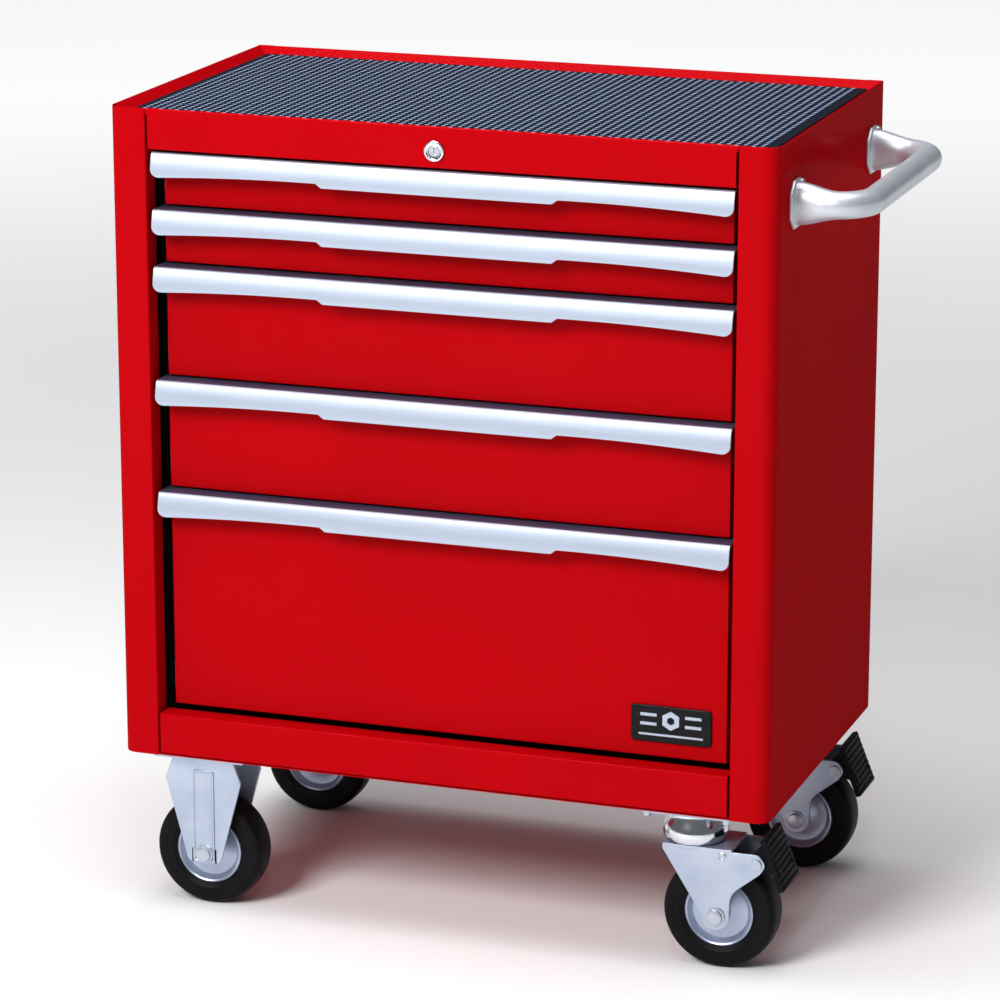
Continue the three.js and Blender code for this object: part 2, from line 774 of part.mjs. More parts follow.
// Caster frames have their origin on the cabinet's underside, above the plate's middle.
const plateTop = -touch;
const plateBottom = plateTop - topPlateThickness;
const crownTop = plateBottom - racewayDepth - 2 * touch;
const wheelDrop = forkWall - crownTop + tyreClearance + wheelRadius;
const casterHeight = wheelDrop + wheelRadius * Math.cos(Math.PI / wheelSegments);
const forkHalf = forkWidth / 2;
const hubHalf = forkHalf - forkWall - hubGap;

function wheelRim() {
  const face = tyreWidth / 2 - rimLip;
  const bore = axleRadius + axleClearance;
  const half = [
    [bore, hubHalf],
    [hubRadius, hubHalf],
    [hubRadius + 2, rimDish],
    [rimRadius - 2 * rimLip, rimDish - 4],
    [rimRadius - rimLip, face],
    [rimRadius, face],
  ];
  return turnedY([...half, ...half.map(([r, y]) => [r, -y]).reverse()], 16);
}

function tyre() {
  const bore = rimRadius + 2 * touch;
  const half = tyreWidth / 2;
  const side = [
    [bore, half - tyreShoulder],
    [wheelRadius - 2 * tyreShoulder, half],
    [wheelRadius - tyreShoulder / 2, half - tyreShoulder],
    [wheelRadius, treadHalf],
  ];
  return turnedY([...side, ...side.map(([r, y]) => [r, -y]).reverse()], wheelSegments);
}

// A hexagon-headed bolt through the fork, with its nut.
function axleBolt() {
  const head = axleHeadWidth / 2 / Math.cos(Math.PI / 6);
  const face = forkHalf + touch;
  return joined(
    barY(axleRadius, -face - past, face + past, 0, 0),
    barY(head, -face - axleHeadThickness, -face, 0, 0, 6),
    barY(head, face, face + axleHeadThickness, 0, 0, 6)
  );
}

function forkLegs(outline, axleX) {
  const hole = barY(axleRadius + axleClearance, -forkHalf - past, forkHalf + past, axleX, -wheelDrop);
  return joined(
    alongY(outline, -forkHalf, -forkHalf + forkWall),
    alongY(outline, forkHalf - forkWall, forkHalf)
  ).subtract(hole);
}

function topPlate() {
  const [halfLength, halfPlateWidth] = [topPlateLength / 2, topPlateWidth / 2];
  return box(-halfLength, halfLength, -halfPlateWidth, halfPlateWidth, plateBottom, plateTop);
}

// A fixed caster's one-piece pressing: top plate and two legs that widen, then taper to the axle.
function fixedBracket() {
  const tip = wheelDrop + axleBoss;
  const leg = rounded([
    [-fixedLegTop, plateBottom + past],
    [-fixedLegShoulder, -fixedLegShoulderDrop, 2],
    [-fixedLegTip, -tip, 7],
    [fixedLegTip, -tip, 7],
    [fixedLegShoulder, -fixedLegShoulderDrop, 2],
    [fixedLegTop, plateBottom + past],
  ]);
  return joined(topPlate(), forkLegs(leg, 0));
}

// The swivel caster's fixed half: top plate and the cup that holds the ball race.
function swivelPlate() {
  const mouth = plateBottom - racewayDepth;
  const roof = plateBottom - racewayLip;
  const neck = racewayRadius - racewayNeck;
  const bore = kingpinRadius + touch;
  const cup = turnedZ([
    [bore, plateBottom + past],
    [neck, plateBottom + past],
    [neck, roof],
    [racewayRadius, mouth + racewayLip + racewayNeck],
    [racewayRadius, mouth + racewayLip],
    [racewayRadius - racewayWall, mouth],
    [racewayRadius - 2 * racewayWall, mouth],
    [racewayRadius - racewayWall, mouth + racewayLip + racewayNeck],
    [neck - racewayWall, roof],
    [bore, roof],
  ], 20);
  const kingpinHole = barZ(bore, roof - past, plateTop + past, 0, 0);
  return joined(topPlate(), cup).subtract(kingpinHole);
}

// The swivelling half: a crown plate under the race, and two legs that reach the trailing axle
// and spread forward to the pin of the brake pedal.
function swivelFork() {
  const crownBottom = crownTop - forkWall;
  const crown = joined(
    barZ(racewayRadius - racewayWall, crownBottom, crownTop, 0, 0, 20),
    box(-swivelLegBack, swivelLegFront, -forkHalf, forkHalf, crownBottom, crownTop)
  );
  const [axleX, axleZ] = [swivelTrail, -wheelDrop];
  const [pinX, pinZ] = [pedalPivotX, -pedalPivotDrop];
  const leg = rounded([
    [-swivelLegBack, crownTop - touch / 10],
    [-swivelLegBack, crownBottom - forkWall, 2],
    [axleX - swivelBoss, axleZ, 8],
    [axleX - 0.7 * swivelBoss, axleZ - swivelBoss, 10],
    [axleX + swivelBoss, axleZ - swivelBoss, 14],
    [axleX + swivelBoss, axleZ + swivelWaist, 22],
    [pinX + 0.3 * pedalEar, pinZ - pedalEar, 8],
    [pinX + pedalEar, pinZ, 8],
    [pinX + 0.2 * pedalEar, pinZ + pedalEar, 7],
    [swivelLegFront, pinZ + pedalEar - touch],
    [swivelLegFront, crownTop - touch / 10],
  ]);
  const pinHole = barY(pedalPinRadius + touch, -forkHalf - past, forkHalf + past, pinX, pinZ);
  const kingpinHole = barZ(kingpinRadius + touch, crownBottom - past, crownTop + past, 0, 0);
  return joined(crown, forkLegs(leg, swivelTrail)).subtract(pinHole).subtract(kingpinHole);
}

function kingpin() {
  const headTop = crownTop - forkWall - touch;
  return joined(
    barZ(kingpinRadius, headTop - past, plateTop - touch, 0, 0),
    barZ(kingpinHeadRadius, headTop - kingpinHeadThickness, headTop, 0, 0)
  );
}

function pedalPin() {
  const face = forkHalf + touch;
  const [headRadius, headFace] = [pedalPinRadius + pedalPinHead, face + pedalPinHead];
  return joined(
    barY(pedalPinRadius, -face - past, face + past, 0, 0),
    barY(headRadius, -headFace, -face, 0, 0),
    barY(headRadius, face, headFace, 0, 0)
  );
}

// A moulded brake pedal: a plate that leans out, on two cheeks between the fork's legs.
function brakePedal() {
  const half = pedalWidth / 2;
  const pivotZ = -pedalPivotDrop;
  const [topX, topZ] = [pedalPivotX + pedalTopReach, pivotZ + pedalRise];
  const [footX, footZ] = [pedalPivotX + pedalFootReach, pivotZ - pedalFall];
  const lean = new THREE.Vector2(footX - topX, footZ - topZ).normalize();
  const inward = new THREE.Vector2(lean.y, -lean.x).multiplyScalar(pedalThickness);
  const plate = alongY(rounded([
    [topX, topZ],
    [footX, footZ],
    [footX + inward.x, footZ + inward.y],
    [topX + inward.x, topZ + inward.y],
  ]), -half, half);
  const cheek = rounded([
    [topX - past, topZ - 2 * past],
    [footX - pedalThickness / 2, footZ + pedalFall / 2],
    [pedalPivotX + pedalPinRadius, pivotZ - 2 * pedalPinRadius, 6],
    [pedalPivotX - 2 * pedalPinRadius, pivotZ - pedalPinRadius, 6],
    [pedalPivotX - 1.5 * pedalPinRadius, pivotZ + 2 * pedalPinRadius, 6],
  ]);
  const outer = forkHalf - forkWall - runningGap;
  const cheeks = joined(
    alongY(cheek, -outer, -outer + pedalCheek),
    alongY(cheek, outer - pedalCheek, outer)
  ).subtract(barY(pedalPinRadius + touch, -forkHalf, forkHalf, pedalPivotX, pivotZ));
  return joined(plate, cheeks);
}

// Wheel parts sit in a group whose origin is the wheel's centre.
function wheelGroup(prefix, x) {
  const group = new THREE.Group();
  group.position.set(x, 0, -wheelDrop);
  group.add(piece(`${prefix}_rim`, wheelRim(), zincPlate));
  group.add(piece(`${prefix}_tyre`, tyre(), tyreRubber));
  group.add(piece(`${prefix}_axle_bolt`, axleBolt(), zincPlate));
  return group;
}

function fixedCaster(prefix, x, y) {
  const group = new THREE.Group();
  group.position.set(x, y, 0);
  group.add(piece(`${prefix}_bracket`, fixedBracket(), zincPlate));
  group.add(wheelGroup(prefix, 0));
  return group;
}

function swivelCaster(prefix, x, y) {
  const group = new THREE.Group();
  group.position.set(x, y, 0);
  group.add(piece(`${prefix}_top_plate`, swivelPlate(), chromePlate));
  group.add(piece(`${prefix}_fork`, swivelFork(), zincPlate));
  group.add(piece(`${prefix}_kingpin`, kingpin(), zincPlate));
  group.add(piece(`${prefix}_brake_pedal`, brakePedal(), pedalPlastic));
  const pin = piece(`${prefix}_pedal_pin`, pedalPin(), zincPlate);
  pin.position.set(pedalPivotX, 0, -pedalPivotDrop);
  group.add(pin);
  group.add(wheelGroup(prefix, swivelTrail));
  return group;
}

// ---- The cart -----------------------------------------------------------------------------------

const cart = new THREE.Group();
const lockProud = touch + lockBezelThickness;
const handleOuter = halfWidth + handleReach + handleTube;
cart.position.set((halfWidth - handleOuter) / 2, (lockProud - bodyDepth) / 2, casterHeight);

cart.add(piece("left_side_panel", sidePanel(-1), redPaint));
cart.add(piece("right_side_panel", sidePanel(1), redPaint));
cart.add(piece("back_panel", backPanel(), redPaint));
cart.add(piece("bottom_pan", bottomPan(), redPaint));
cart.add(piece("tray_top", trayTop(), redPaint));
cart.add(piece("top_rail", topRail(), redPaint));
cart.add(piece("bottom_rail", bottomRail(), redPaint));
cart.add(piece("tray_mat", trayMat(), matRubber));
cart.add(piece("left_slide_rack", slideRack(-1), slideSteel));
cart.add(piece("right_slide_rack", slideRack(1), slideSteel));
cart.add(piece("push_handle", pushHandle(), satinSteel));
cart.add(piece("lock_barrel", lockBarrel(), chromePlate));
cart.add(piece("lock_plug", lockPlug(), chromePlate));
cart.add(piece("lock_rod", lockRod(), slideSteel));
cart.add(piece("lock_bar", lockBar(), slideSteel));

drawers.forEach((drawer, i) => {
  const number = i + 1;
  cart.add(piece(`drawer_${number}`, drawerBody(drawer), redPaint));
  cart.add(piece(`drawer_${number}_pull`, drawerPull(drawer), silverAluminium));
  cart.add(piece(`drawer_${number}_left_slide`, middleSlide(-1, drawer), slideSteel));
  cart.add(piece(`drawer_${number}_right_slide`, middleSlide(1, drawer), slideSteel));
});
cart.add(piece("nameplate", nameplate(drawers.at(-1)), plateBlack));

const frontY = casterInsetY;
const rearY = bodyDepth - casterInsetY;
const fixedX = -halfWidth + fixedCasterInsetX;
const swivelX = halfWidth - swivelCasterInsetX;
cart.add(fixedCaster("front_fixed", fixedX, frontY));
cart.add(fixedCaster("rear_fixed", fixedX, rearY));
cart.add(swivelCaster("front_swivel", swivelX, frontY));
cart.add(swivelCaster("rear_swivel", swivelX, rearY));

export default cart;
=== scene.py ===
"""The looks of a red roller tool cabinet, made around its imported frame, in metres.

The file follows the cabinet as it is put together: painted body, tray mat, drawers and their pulls, slides,
lock, push handle, nameplate and casters, and last the studio that it stands in.
"""

import math

import bmesh
import bpy
from mathutils import Matrix, Vector


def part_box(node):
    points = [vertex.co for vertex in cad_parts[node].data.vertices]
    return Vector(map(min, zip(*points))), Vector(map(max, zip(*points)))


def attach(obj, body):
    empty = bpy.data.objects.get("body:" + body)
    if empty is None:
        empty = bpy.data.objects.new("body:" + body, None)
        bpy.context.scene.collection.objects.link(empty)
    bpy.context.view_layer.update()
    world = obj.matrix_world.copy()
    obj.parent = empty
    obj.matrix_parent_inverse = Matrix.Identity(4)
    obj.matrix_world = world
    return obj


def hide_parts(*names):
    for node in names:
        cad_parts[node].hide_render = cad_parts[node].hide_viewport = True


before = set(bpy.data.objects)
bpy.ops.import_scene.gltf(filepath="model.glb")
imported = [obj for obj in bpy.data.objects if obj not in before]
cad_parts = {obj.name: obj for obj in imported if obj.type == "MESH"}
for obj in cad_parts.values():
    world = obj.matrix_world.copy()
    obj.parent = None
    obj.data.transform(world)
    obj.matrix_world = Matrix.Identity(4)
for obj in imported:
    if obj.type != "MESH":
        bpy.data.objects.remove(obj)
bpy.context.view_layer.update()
bpy.ops.object.select_all(action="DESELECT")


# ---- Painted body -------------------------------------------------------------------------------
# Seven folded sheets of 1.2 mm steel: two side panels that carry the rounded front columns, a back, a
# bottom pan, a tray top and two front rails. They are welded, then powder coated in glossy red, which
# leaves a faint orange peel and slightly fat edges.

RED = (0.40, 0.0010, 0.0034)
DEEP_RED = (0.36, 0.0008, 0.0028)
SHEET_EDGE = 0.0004
FOLD_ANGLE = math.radians(38)
SAME_PLACE = 0.00001
BODY_SHEETS = (
    "left_side_panel", "right_side_panel", "back_panel", "bottom_pan",
    "tray_top", "top_rail", "bottom_rail",
)


def new_finish(name, colour, metallic, roughness):
    """A material with its even values set on the shader itself."""
    finish = bpy.data.materials.new(name)
    finish.use_nodes = True
    shader = finish.node_tree.nodes["Principled BSDF"]
    shader.inputs["Base Color"].default_value = (*colour, 1)
    shader.inputs["Metallic"].default_value = metallic
    shader.inputs["Roughness"].default_value = roughness
    return finish


def grain(finish, scale, stretch=(1, 1, 1), detail=2):
    """A noise over the piece's own coordinates; stretch pulls it out along an axis, as brushing does."""
    nodes, links = finish.node_tree.nodes, finish.node_tree.links
    place = nodes.new("ShaderNodeTexCoord")
    mapping = nodes.new("ShaderNodeMapping")
    mapping.inputs["Scale"].default_value = stretch
    noise = nodes.new("ShaderNodeTexNoise")
    noise.inputs["Scale"].default_value = scale
    noise.inputs["Detail"].default_value = detail
    links.new(place.outputs["Object"], mapping.inputs["Vector"])
    links.new(mapping.outputs["Vector"], noise.inputs["Vector"])
    return noise.outputs["Fac"]


def shader_of(finish):
    return finish.node_tree.nodes["Principled BSDF"]


def tint(finish, pattern, dark, light, span=(0.15, 0.85)):
    """The base colour runs from dark to light as the pattern does over its span."""
    ramp = finish.node_tree.nodes.new("ShaderNodeValToRGB")
    ramp.color_ramp.elements[0].position, ramp.color_ramp.elements[1].position = span
    ramp.color_ramp.elements[0].color = (*dark, 1)
    ramp.color_ramp.elements[1].color = (*light, 1)
    finish.node_tree.links.new(pattern, ramp.inputs["Fac"])
    finish.node_tree.links.new(ramp.outputs["Color"], shader_of(finish).inputs["Base Color"])


def dull(finish, pattern, smooth, rough):
    """The roughness runs from smooth to rough as the pattern does."""
    spread = finish.node_tree.nodes.new("ShaderNodeMapRange")
    spread.inputs["From Min"].default_value = 0.1
    spread.inputs["From Max"].default_value = 0.9
    spread.inputs["To Min"].default_value = smooth
    spread.inputs["To Max"].default_value = rough
    finish.node_tree.links.new(pattern, spread.inputs["Value"])
    finish.node_tree.links.new(spread.outputs["Result"], shader_of(finish).inputs["Roughness"])


def relief(finish, pattern, height):
    """The pattern stands up by height, in metres."""
    bump = finish.node_tree.nodes.new("ShaderNodeBump")
    bump.inputs["Distance"].default_value = height
    finish.node_tree.links.new(pattern, bump.inputs["Height"])
    finish.node_tree.links.new(bump.outputs["Normal"], shader_of(finish).inputs["Normal"])


def red_powder_coat():
    finish = new_finish("red_powder_coat", RED, 0.0, 0.3)
    shader_of(finish).inputs["Specular IOR Level"].default_value = 0
    shader_of(finish).inputs["Coat Weight"].default_value = 0.03
    shader_of(finish).inputs["Coat Roughness"].default_value = 0.12
    tint(finish, grain(finish, 7), DEEP_RED, RED)
    dull(finish, grain(finish, 12), 0.24, 0.38)
    relief(finish, grain(finish, 150), 0.000006)
    return finish


def dress_node(name, finish, edge):
    """A frame node keeps its mesh, and takes a finish and rounded, evenly shaded edges."""
    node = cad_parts[name]
    node.data.materials.clear()
    node.data.materials.append(finish)
    for face in node.data.polygons:
        face.use_smooth = True
    welded = node.modifiers.new("welded_facets", "WELD")
    welded.merge_threshold = SAME_PLACE
    edges = node.modifiers.new("rolled_edges", "BEVEL")
    edges.width = edge
    edges.segments = 2
    edges.limit_method = "ANGLE"
    edges.angle_limit = FOLD_ANGLE
    edges.use_clamp_overlap = False
    shading = node.modifiers.new("even_shading", "WEIGHTED_NORMAL")
    shading.keep_sharp = True
    return node


red = red_powder_coat()
for sheet in BODY_SHEETS:
    dress_node(sheet, red, SHEET_EDGE)


# ---- Tray mat -----------------------------------------------------------------------------------
# A sheet of slate-grey rubber that lies loose in the tray top. Its face is moulded all over with small
# diamond studs, each column set half a step off the next, whose tops are painted lighter than the ground
# as a painted highlight for their sheen.

SLATE = (0.0020, 0.0036, 0.0100)
SLATE_PALE = (0.0035, 0.0060, 0.0150)
STUD_HIGHLIGHT_DARK = (0.20, 0.265, 0.40)
STUD_HIGHLIGHT_PALE = (0.28, 0.355, 0.51)
COLUMN_PITCH = 0.0090
STUD_PITCH = 0.0091
STUD_RADIUS = 0.0037
STUD_HEIGHT = 0.0010
STUD_TOP_SHARE = 0.80
STUD_SUNK = 0.0001
MAT_MARGIN = 0.004
MAT_EDGE = 0.0008
FACES_STRAIGHT = 0.9


def matt_finish(name, dark, light, roughness):
    """A dull, finely mottled surface, as rubber and moulded plastic have, also used for painted shade and
    painted highlights.
    """
    finish = new_finish(name, light, 0.0, roughness)
    shader_of(finish).inputs["Specular IOR Level"].default_value = 0.1
    tint(finish, grain(finish, 60, detail=3), dark, light)
    dull(finish, grain(finish, 25, detail=3), roughness - 0.08, roughness + 0.08)
    relief(finish, grain(finish, 900), 0.00005)
    return finish


def pick(kind, test):
    """In edit mode, selects only the VERT, EDGE or FACE elements that pass the test."""
    bpy.ops.mesh.select_mode(type=kind)
    bpy.ops.mesh.select_all(action="DESELECT")
    shape = bmesh.from_edit_mesh(bpy.context.edit_object.data)
    elements = {"VERT": shape.verts, "EDGE": shape.edges, "FACE": shape.faces}[kind]
    for element in elements:
        if test(element):
            element.select_set(True)
    shape.select_flush_mode()
    bmesh.update_edit_mesh(bpy.context.edit_object.data)


def start(name):
    """Names the new primitive, sets its place in its mesh, and opens it for editing, all selected."""
    piece = bpy.context.object
    piece.name = name
    piece.data.name = name
    bpy.ops.object.transform_apply(location=True, rotation=True, scale=True)
    bpy.ops.object.mode_set(mode="EDIT")
    bpy.ops.mesh.select_mode(type="VERT")
    bpy.ops.mesh.select_all(action="SELECT")
    return piece


def close_up(piece):
    """Merges doubled points, turns the faces outward and leaves edit mode."""
    bpy.ops.mesh.select_all(action="SELECT")
    bpy.ops.mesh.remove_doubles(threshold=0.000001)
    bpy.ops.mesh.normals_make_consistent(inside=False)
    bpy.ops.object.mode_set(mode="OBJECT")
    return piece


def apply_modifiers(piece):
    bpy.ops.object.select_all(action="DESELECT")
    piece.select_set(True)
    bpy.context.view_layer.objects.active = piece
    for modifier in list(piece.modifiers):
        bpy.ops.object.modifier_apply(modifier=modifier.name)


def round_edges(piece, width, segments=2, angle=math.radians(32)):
    """Rounds the sharp edges of a finished shape and shades it smoothly between them."""
    edges = piece.modifiers.new("rounded_edges", "BEVEL")
    edges.width = width
    edges.segments = segments
    edges.limit_method = "ANGLE"
    edges.angle_limit = angle
    apply_modifiers(piece)
    bpy.ops.object.shade_smooth_by_angle(angle=angle)
    return piece


def fit_piece(piece, body, finish):
    """Gives a finished shape its material and its place on a body."""
    if finish:
        piece.data.materials.clear()
        piece.data.materials.append(finish)
    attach(piece, body)
    bpy.ops.object.select_all(action="DESELECT")
    return piece


def moved_copy(piece, name, offset):
    """A copy with its own mesh, moved by offset in that mesh."""
    twin = piece.copy()
    twin.data = piece.data.copy()
    twin.name = name
    twin.data.name = name
    twin.data.transform(Matrix.Translation(offset))
    bpy.context.scene.collection.objects.link(twin)
    return twin


def mat_studs():
    """Two studs, one in each of two neighbouring columns, repeated over the mat."""
    low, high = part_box("tray_mat")
    room = high - low - Vector((2 * MAT_MARGIN, 2 * MAT_MARGIN, 0))
    across = int((room.x - 2 * STUD_RADIUS - COLUMN_PITCH) / (2 * COLUMN_PITCH)) + 1
    deep = int((room.y - 2 * STUD_RADIUS - STUD_PITCH / 2) / STUD_PITCH) + 1
    spread = Vector(((2 * across - 1) * COLUMN_PITCH, (deep - 0.5) * STUD_PITCH, 0))
    first = (low + high) / 2 - spread / 2
    first.z = high.z
    bpy.ops.mesh.primitive_circle_add(
        vertices=4, radius=STUD_RADIUS, fill_type="NGON", location=first - Vector((0, 0, STUD_SUNK)),
    )
    studs = start("tray_mat_studs")
    bpy.ops.mesh.extrude_region_move(TRANSFORM_OT_translate={"value": (0, 0, STUD_HEIGHT)})
    top = first + Vector((0, 0, STUD_HEIGHT))
    bpy.ops.transform.resize(value=(STUD_TOP_SHARE, STUD_TOP_SHARE, 1), center_override=top)
    bpy.ops.mesh.select_all(action="SELECT")
    bpy.ops.mesh.duplicate_move(TRANSFORM_OT_translate={"value": (COLUMN_PITCH, STUD_PITCH / 2, 0)})
    close_up(studs)
    for count, direction in ((across, (2 * COLUMN_PITCH, 0, 0)), (deep, (0, STUD_PITCH, 0))):
        rows = studs.modifiers.new("rows", "ARRAY")
        rows.count = count
        rows.use_relative_offset = False
        rows.use_constant_offset = True
        rows.constant_offset_displace = direction
    apply_modifiers(studs)
    studs.data.materials.append(stud_top_highlight)
    studs.data.materials.append(slate_rubber)
    # Flat stud tops take a pale blue-grey, a painted highlight; the stud sides keep the slate rubber.
    for face in studs.data.polygons:
        face.material_index = 0 if face.normal.z > FACES_STRAIGHT else 1
    return studs


slate_rubber = matt_finish("slate_rubber", SLATE, SLATE_PALE, 0.62)
stud_top_highlight = matt_finish("stud_top_highlight", STUD_HIGHLIGHT_DARK, STUD_HIGHLIGHT_PALE, 0.5)
dress_node("tray_mat", slate_rubber, MAT_EDGE)
fit_piece(mat_studs(), "cabinet", None)


# ---- Drawers ------------------------------------------------------------------------------------
# Each drawer is a hollow painted front welded to an open box of 1 mm sheet, with the inner member of a
# ball slide along each side. The members are zinc plated, in a zinc darkened as painted shade for the gap
# beside the drawers, and show only when the drawer is out.

DRAWER_COUNT = 5
DRAWER_EDGE = 0.0005
SHADE_ZINC_DARK = (0.085, 0.092, 0.105)
SHADE_ZINC_PALE = (0.19, 0.20, 0.225)
TUB_HALF_WIDTH = 0.3093
MEMBER_STANDS_OUT = 0.0001
FRONT_DEPTH = 0.0135


def zinc_plate(name, dark, pale):
    finish = new_finish(name, pale, 0.75, 0.35)
    tint(finish, grain(finish, 28, detail=3), dark, pale)
    dull(finish, grain(finish, 40), 0.27, 0.42)
    relief(finish, grain(finish, 120), 0.000004)
    return finish


def drawer_box(number):
    """The frame's drawer in red, with its two slide members in zinc darkened as painted shade."""
    node = dress_node(f"drawer_{number}", red, DRAWER_EDGE)
    node.data.materials.append(shade_darkened_zinc)
    low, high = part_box(f"drawer_{number}")
    centre = (low.x + high.x) / 2
    for face in node.data.polygons:
        spot = face.center
        out = abs(spot.x - centre) - TUB_HALF_WIDTH
        is_member = out > MEMBER_STANDS_OUT and spot.y > low.y + FRONT_DEPTH
        face.material_index = 1 if is_member else 0


# Zinc darkened past its own tone: painted shade for the gap beside the drawers.
shade_darkened_zinc = zinc_plate("shade_darkened_zinc", SHADE_ZINC_DARK, SHADE_ZINC_PALE)
for number in range(1, DRAWER_COUNT + 1):
    drawer_box(number)


# ---- Drawer pulls -------------------------------------------------------------------------------
# A full-width aluminium extrusion on the top edge of each drawer: a flat ledge and a crowned lip that
# hangs before the front, leaning out toward its lower edge. That edge is milled into two long shallow
# arches on either side of a straight middle, and the whole is satin anodised in silver, save the flat
# top of the ledge, which is painted dark purple-grey as painted shade and reflection.

SILVER = (0.41, 0.46, 0.56)
LEDGE_SHADE = (0.045, 0.038, 0.075)
LEDGE_SHADE_PALE = (0.060, 0.052, 0.095)
PULL_WALL = 0.0024
PULL_ROWS = 6
PULL_EDGE = 0.0003
SHADED_LEDGE_REACH = 0.0002
ARCH_CUTS = 16
CORNER_ANGLES = (0, 22, 42, 58, 72, 82)
MIDDLE_HALF = 0.126
STEP = 0.006
MIDDLE_DROP = 0.026
STEP_DROP = 0.0214
ARCH_DROP = 0.0206
END_DROP = 0.0264
CORNER = 0.009
LEAN = 0.0048
LIP_ROUND = 0.0026


def satin_aluminium(name, colour):
    finish = new_finish(name, colour, 0.55, 0.42)
    shader_of(finish).inputs["Anisotropic"].default_value = 0.3
    pale = tuple(min(1.0, 1.08 * part) for part in colour)
    tint(finish, grain(finish, 700, stretch=(0.02, 1, 1), detail=3), colour, pale)
    dull(finish, grain(finish, 300, stretch=(0.05, 1, 1), detail=3), 0.36, 0.48)
    relief(finish, grain(finish, 900, stretch=(0.02, 1, 1)), 0.00001)
    return finish


def lip_drop(x, half):
    """How far the lip hangs below the ledge at a distance x from the middle."""
    distance = abs(x)
    arch_start, arch_end = MIDDLE_HALF + STEP, half - CORNER
    if distance <= MIDDLE_HALF:
        return MIDDLE_DROP
    if distance <= arch_start:
        return MIDDLE_DROP + (STEP_DROP - MIDDLE_DROP) * (distance - MIDDLE_HALF) / STEP
    if distance <= arch_end:
        t = (distance - arch_start) / (arch_end - arch_start)
        return (1 - t) ** 2 * STEP_DROP + 2 * t * (1 - t) * ARCH_DROP + t ** 2 * END_DROP
    reach = min(distance - arch_end, CORNER)
    return END_DROP - CORNER + math.sqrt(CORNER ** 2 - reach ** 2)


def drawer_pull(node):
    """A plane cut into columns and rows, dropped to the arched edge, bowed, and folded back at the top."""
    low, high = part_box(node)
    centre = (low.x + high.x) / 2
    half = (high.x - low.x) / 2
    bpy.ops.mesh.primitive_plane_add(
        size=1, rotation=(math.pi / 2, 0, 0), location=(centre, low.y, high.z - 0.5),
    )
    bpy.context.object.scale = (2 * half, 1, 1)
    pull = start("pull_shape")
    corner_cuts = [half - CORNER * (1 - math.sin(math.radians(a))) for a in CORNER_ANGLES]
    arch_start, arch_end = MIDDLE_HALF + STEP, half - CORNER
    arch_cuts = [arch_start + (arch_end - arch_start) * cut / ARCH_CUTS for cut in range(ARCH_CUTS)]
    for cut in [MIDDLE_HALF, *arch_cuts, *corner_cuts]:
        for side in (-1, 1):
            bpy.ops.mesh.select_all(action="SELECT")
            bpy.ops.mesh.bisect(plane_co=(centre + side * cut, 0, 0), plane_no=(1, 0, 0))
    for row in range(1, PULL_ROWS):
        bpy.ops.mesh.select_all(action="SELECT")
        bpy.ops.mesh.bisect(plane_co=(0, 0, high.z - row / PULL_ROWS), plane_no=(0, 0, 1))
    shape = bmesh.from_edit_mesh(pull.data)
    for vertex in shape.verts:
        drop = (high.z - vertex.co.z) * lip_drop(vertex.co.x - centre, half)
        vertex.co.y = low.y + LEAN * max(0.0, 1 - drop / END_DROP) ** 2
        vertex.co.z = high.z - drop
    bmesh.update_edit_mesh(pull.data)
    pick("EDGE", lambda edge: all(vertex.co.z > high.z - SAME_PLACE for vertex in edge.verts))
    fold = low.y + LEAN
    bpy.ops.mesh.extrude_region_move(TRANSFORM_OT_translate={"value": (0, high.y - fold, 0)})
    pick("EDGE", lambda edge: all(
        abs(corner.co.y - fold) + abs(corner.co.z - high.z) < SAME_PLACE for corner in edge.verts
    ))
    bpy.ops.mesh.bevel(offset=LIP_ROUND, segments=4, affect="EDGES")
    close_up(pull)
    ledge_up = max(pull.data.polygons, key=lambda face: face.center.y).normal.z > 0
    wall = pull.modifiers.new("wall", "SOLIDIFY")
    wall.thickness = PULL_WALL
    wall.offset = -1 if ledge_up else 1
    round_edges(pull, PULL_EDGE)
    pull.data.materials.append(anodised)
    pull.data.materials.append(ledge_painted_shade)
    # The up-facing top of the ledge takes a dark purple-grey: painted shade and reflection.
    for face in pull.data.polygons:
        if face.normal.z > FACES_STRAIGHT and face.center.z > high.z - SHADED_LEDGE_REACH:
            face.material_index = 1
    return pull


anodised = satin_aluminium("anodised_silver", SILVER)
ledge_painted_shade = matt_finish("ledge_painted_shade", LEDGE_SHADE, LEDGE_SHADE_PALE, 0.4)
first_pull = drawer_pull("drawer_1_pull")
first_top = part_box("drawer_1_pull")[1]
for number in range(1, DRAWER_COUNT + 1):
    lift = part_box(f"drawer_{number}_pull")[1] - first_top
    pull = moved_copy(first_pull, f"drawer_{number}_silver_pull", lift)
    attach(pull, f"drawer_{number}")
    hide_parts(f"drawer_{number}_pull")
bpy.data.objects.remove(first_pull)


# ---- Slides, racks and lock bar -----------------------------------------------------------------
# Inside the body: two racks of folded posts with the outer slide members, a middle member on each side of
# every drawer, and the rod and bar that lock the drawers. The racks are near-black, painted shade for the
# dark gap beside the drawers; the members, rod and bar are dull zinc, darkened as painted shade for the
# same gap.

RACK_SHADE_BLACK = (0.005, 0.005, 0.006)
RACK_SHADE_PALE = (0.010, 0.010, 0.012)
SLIDE_EDGE = 0.0002

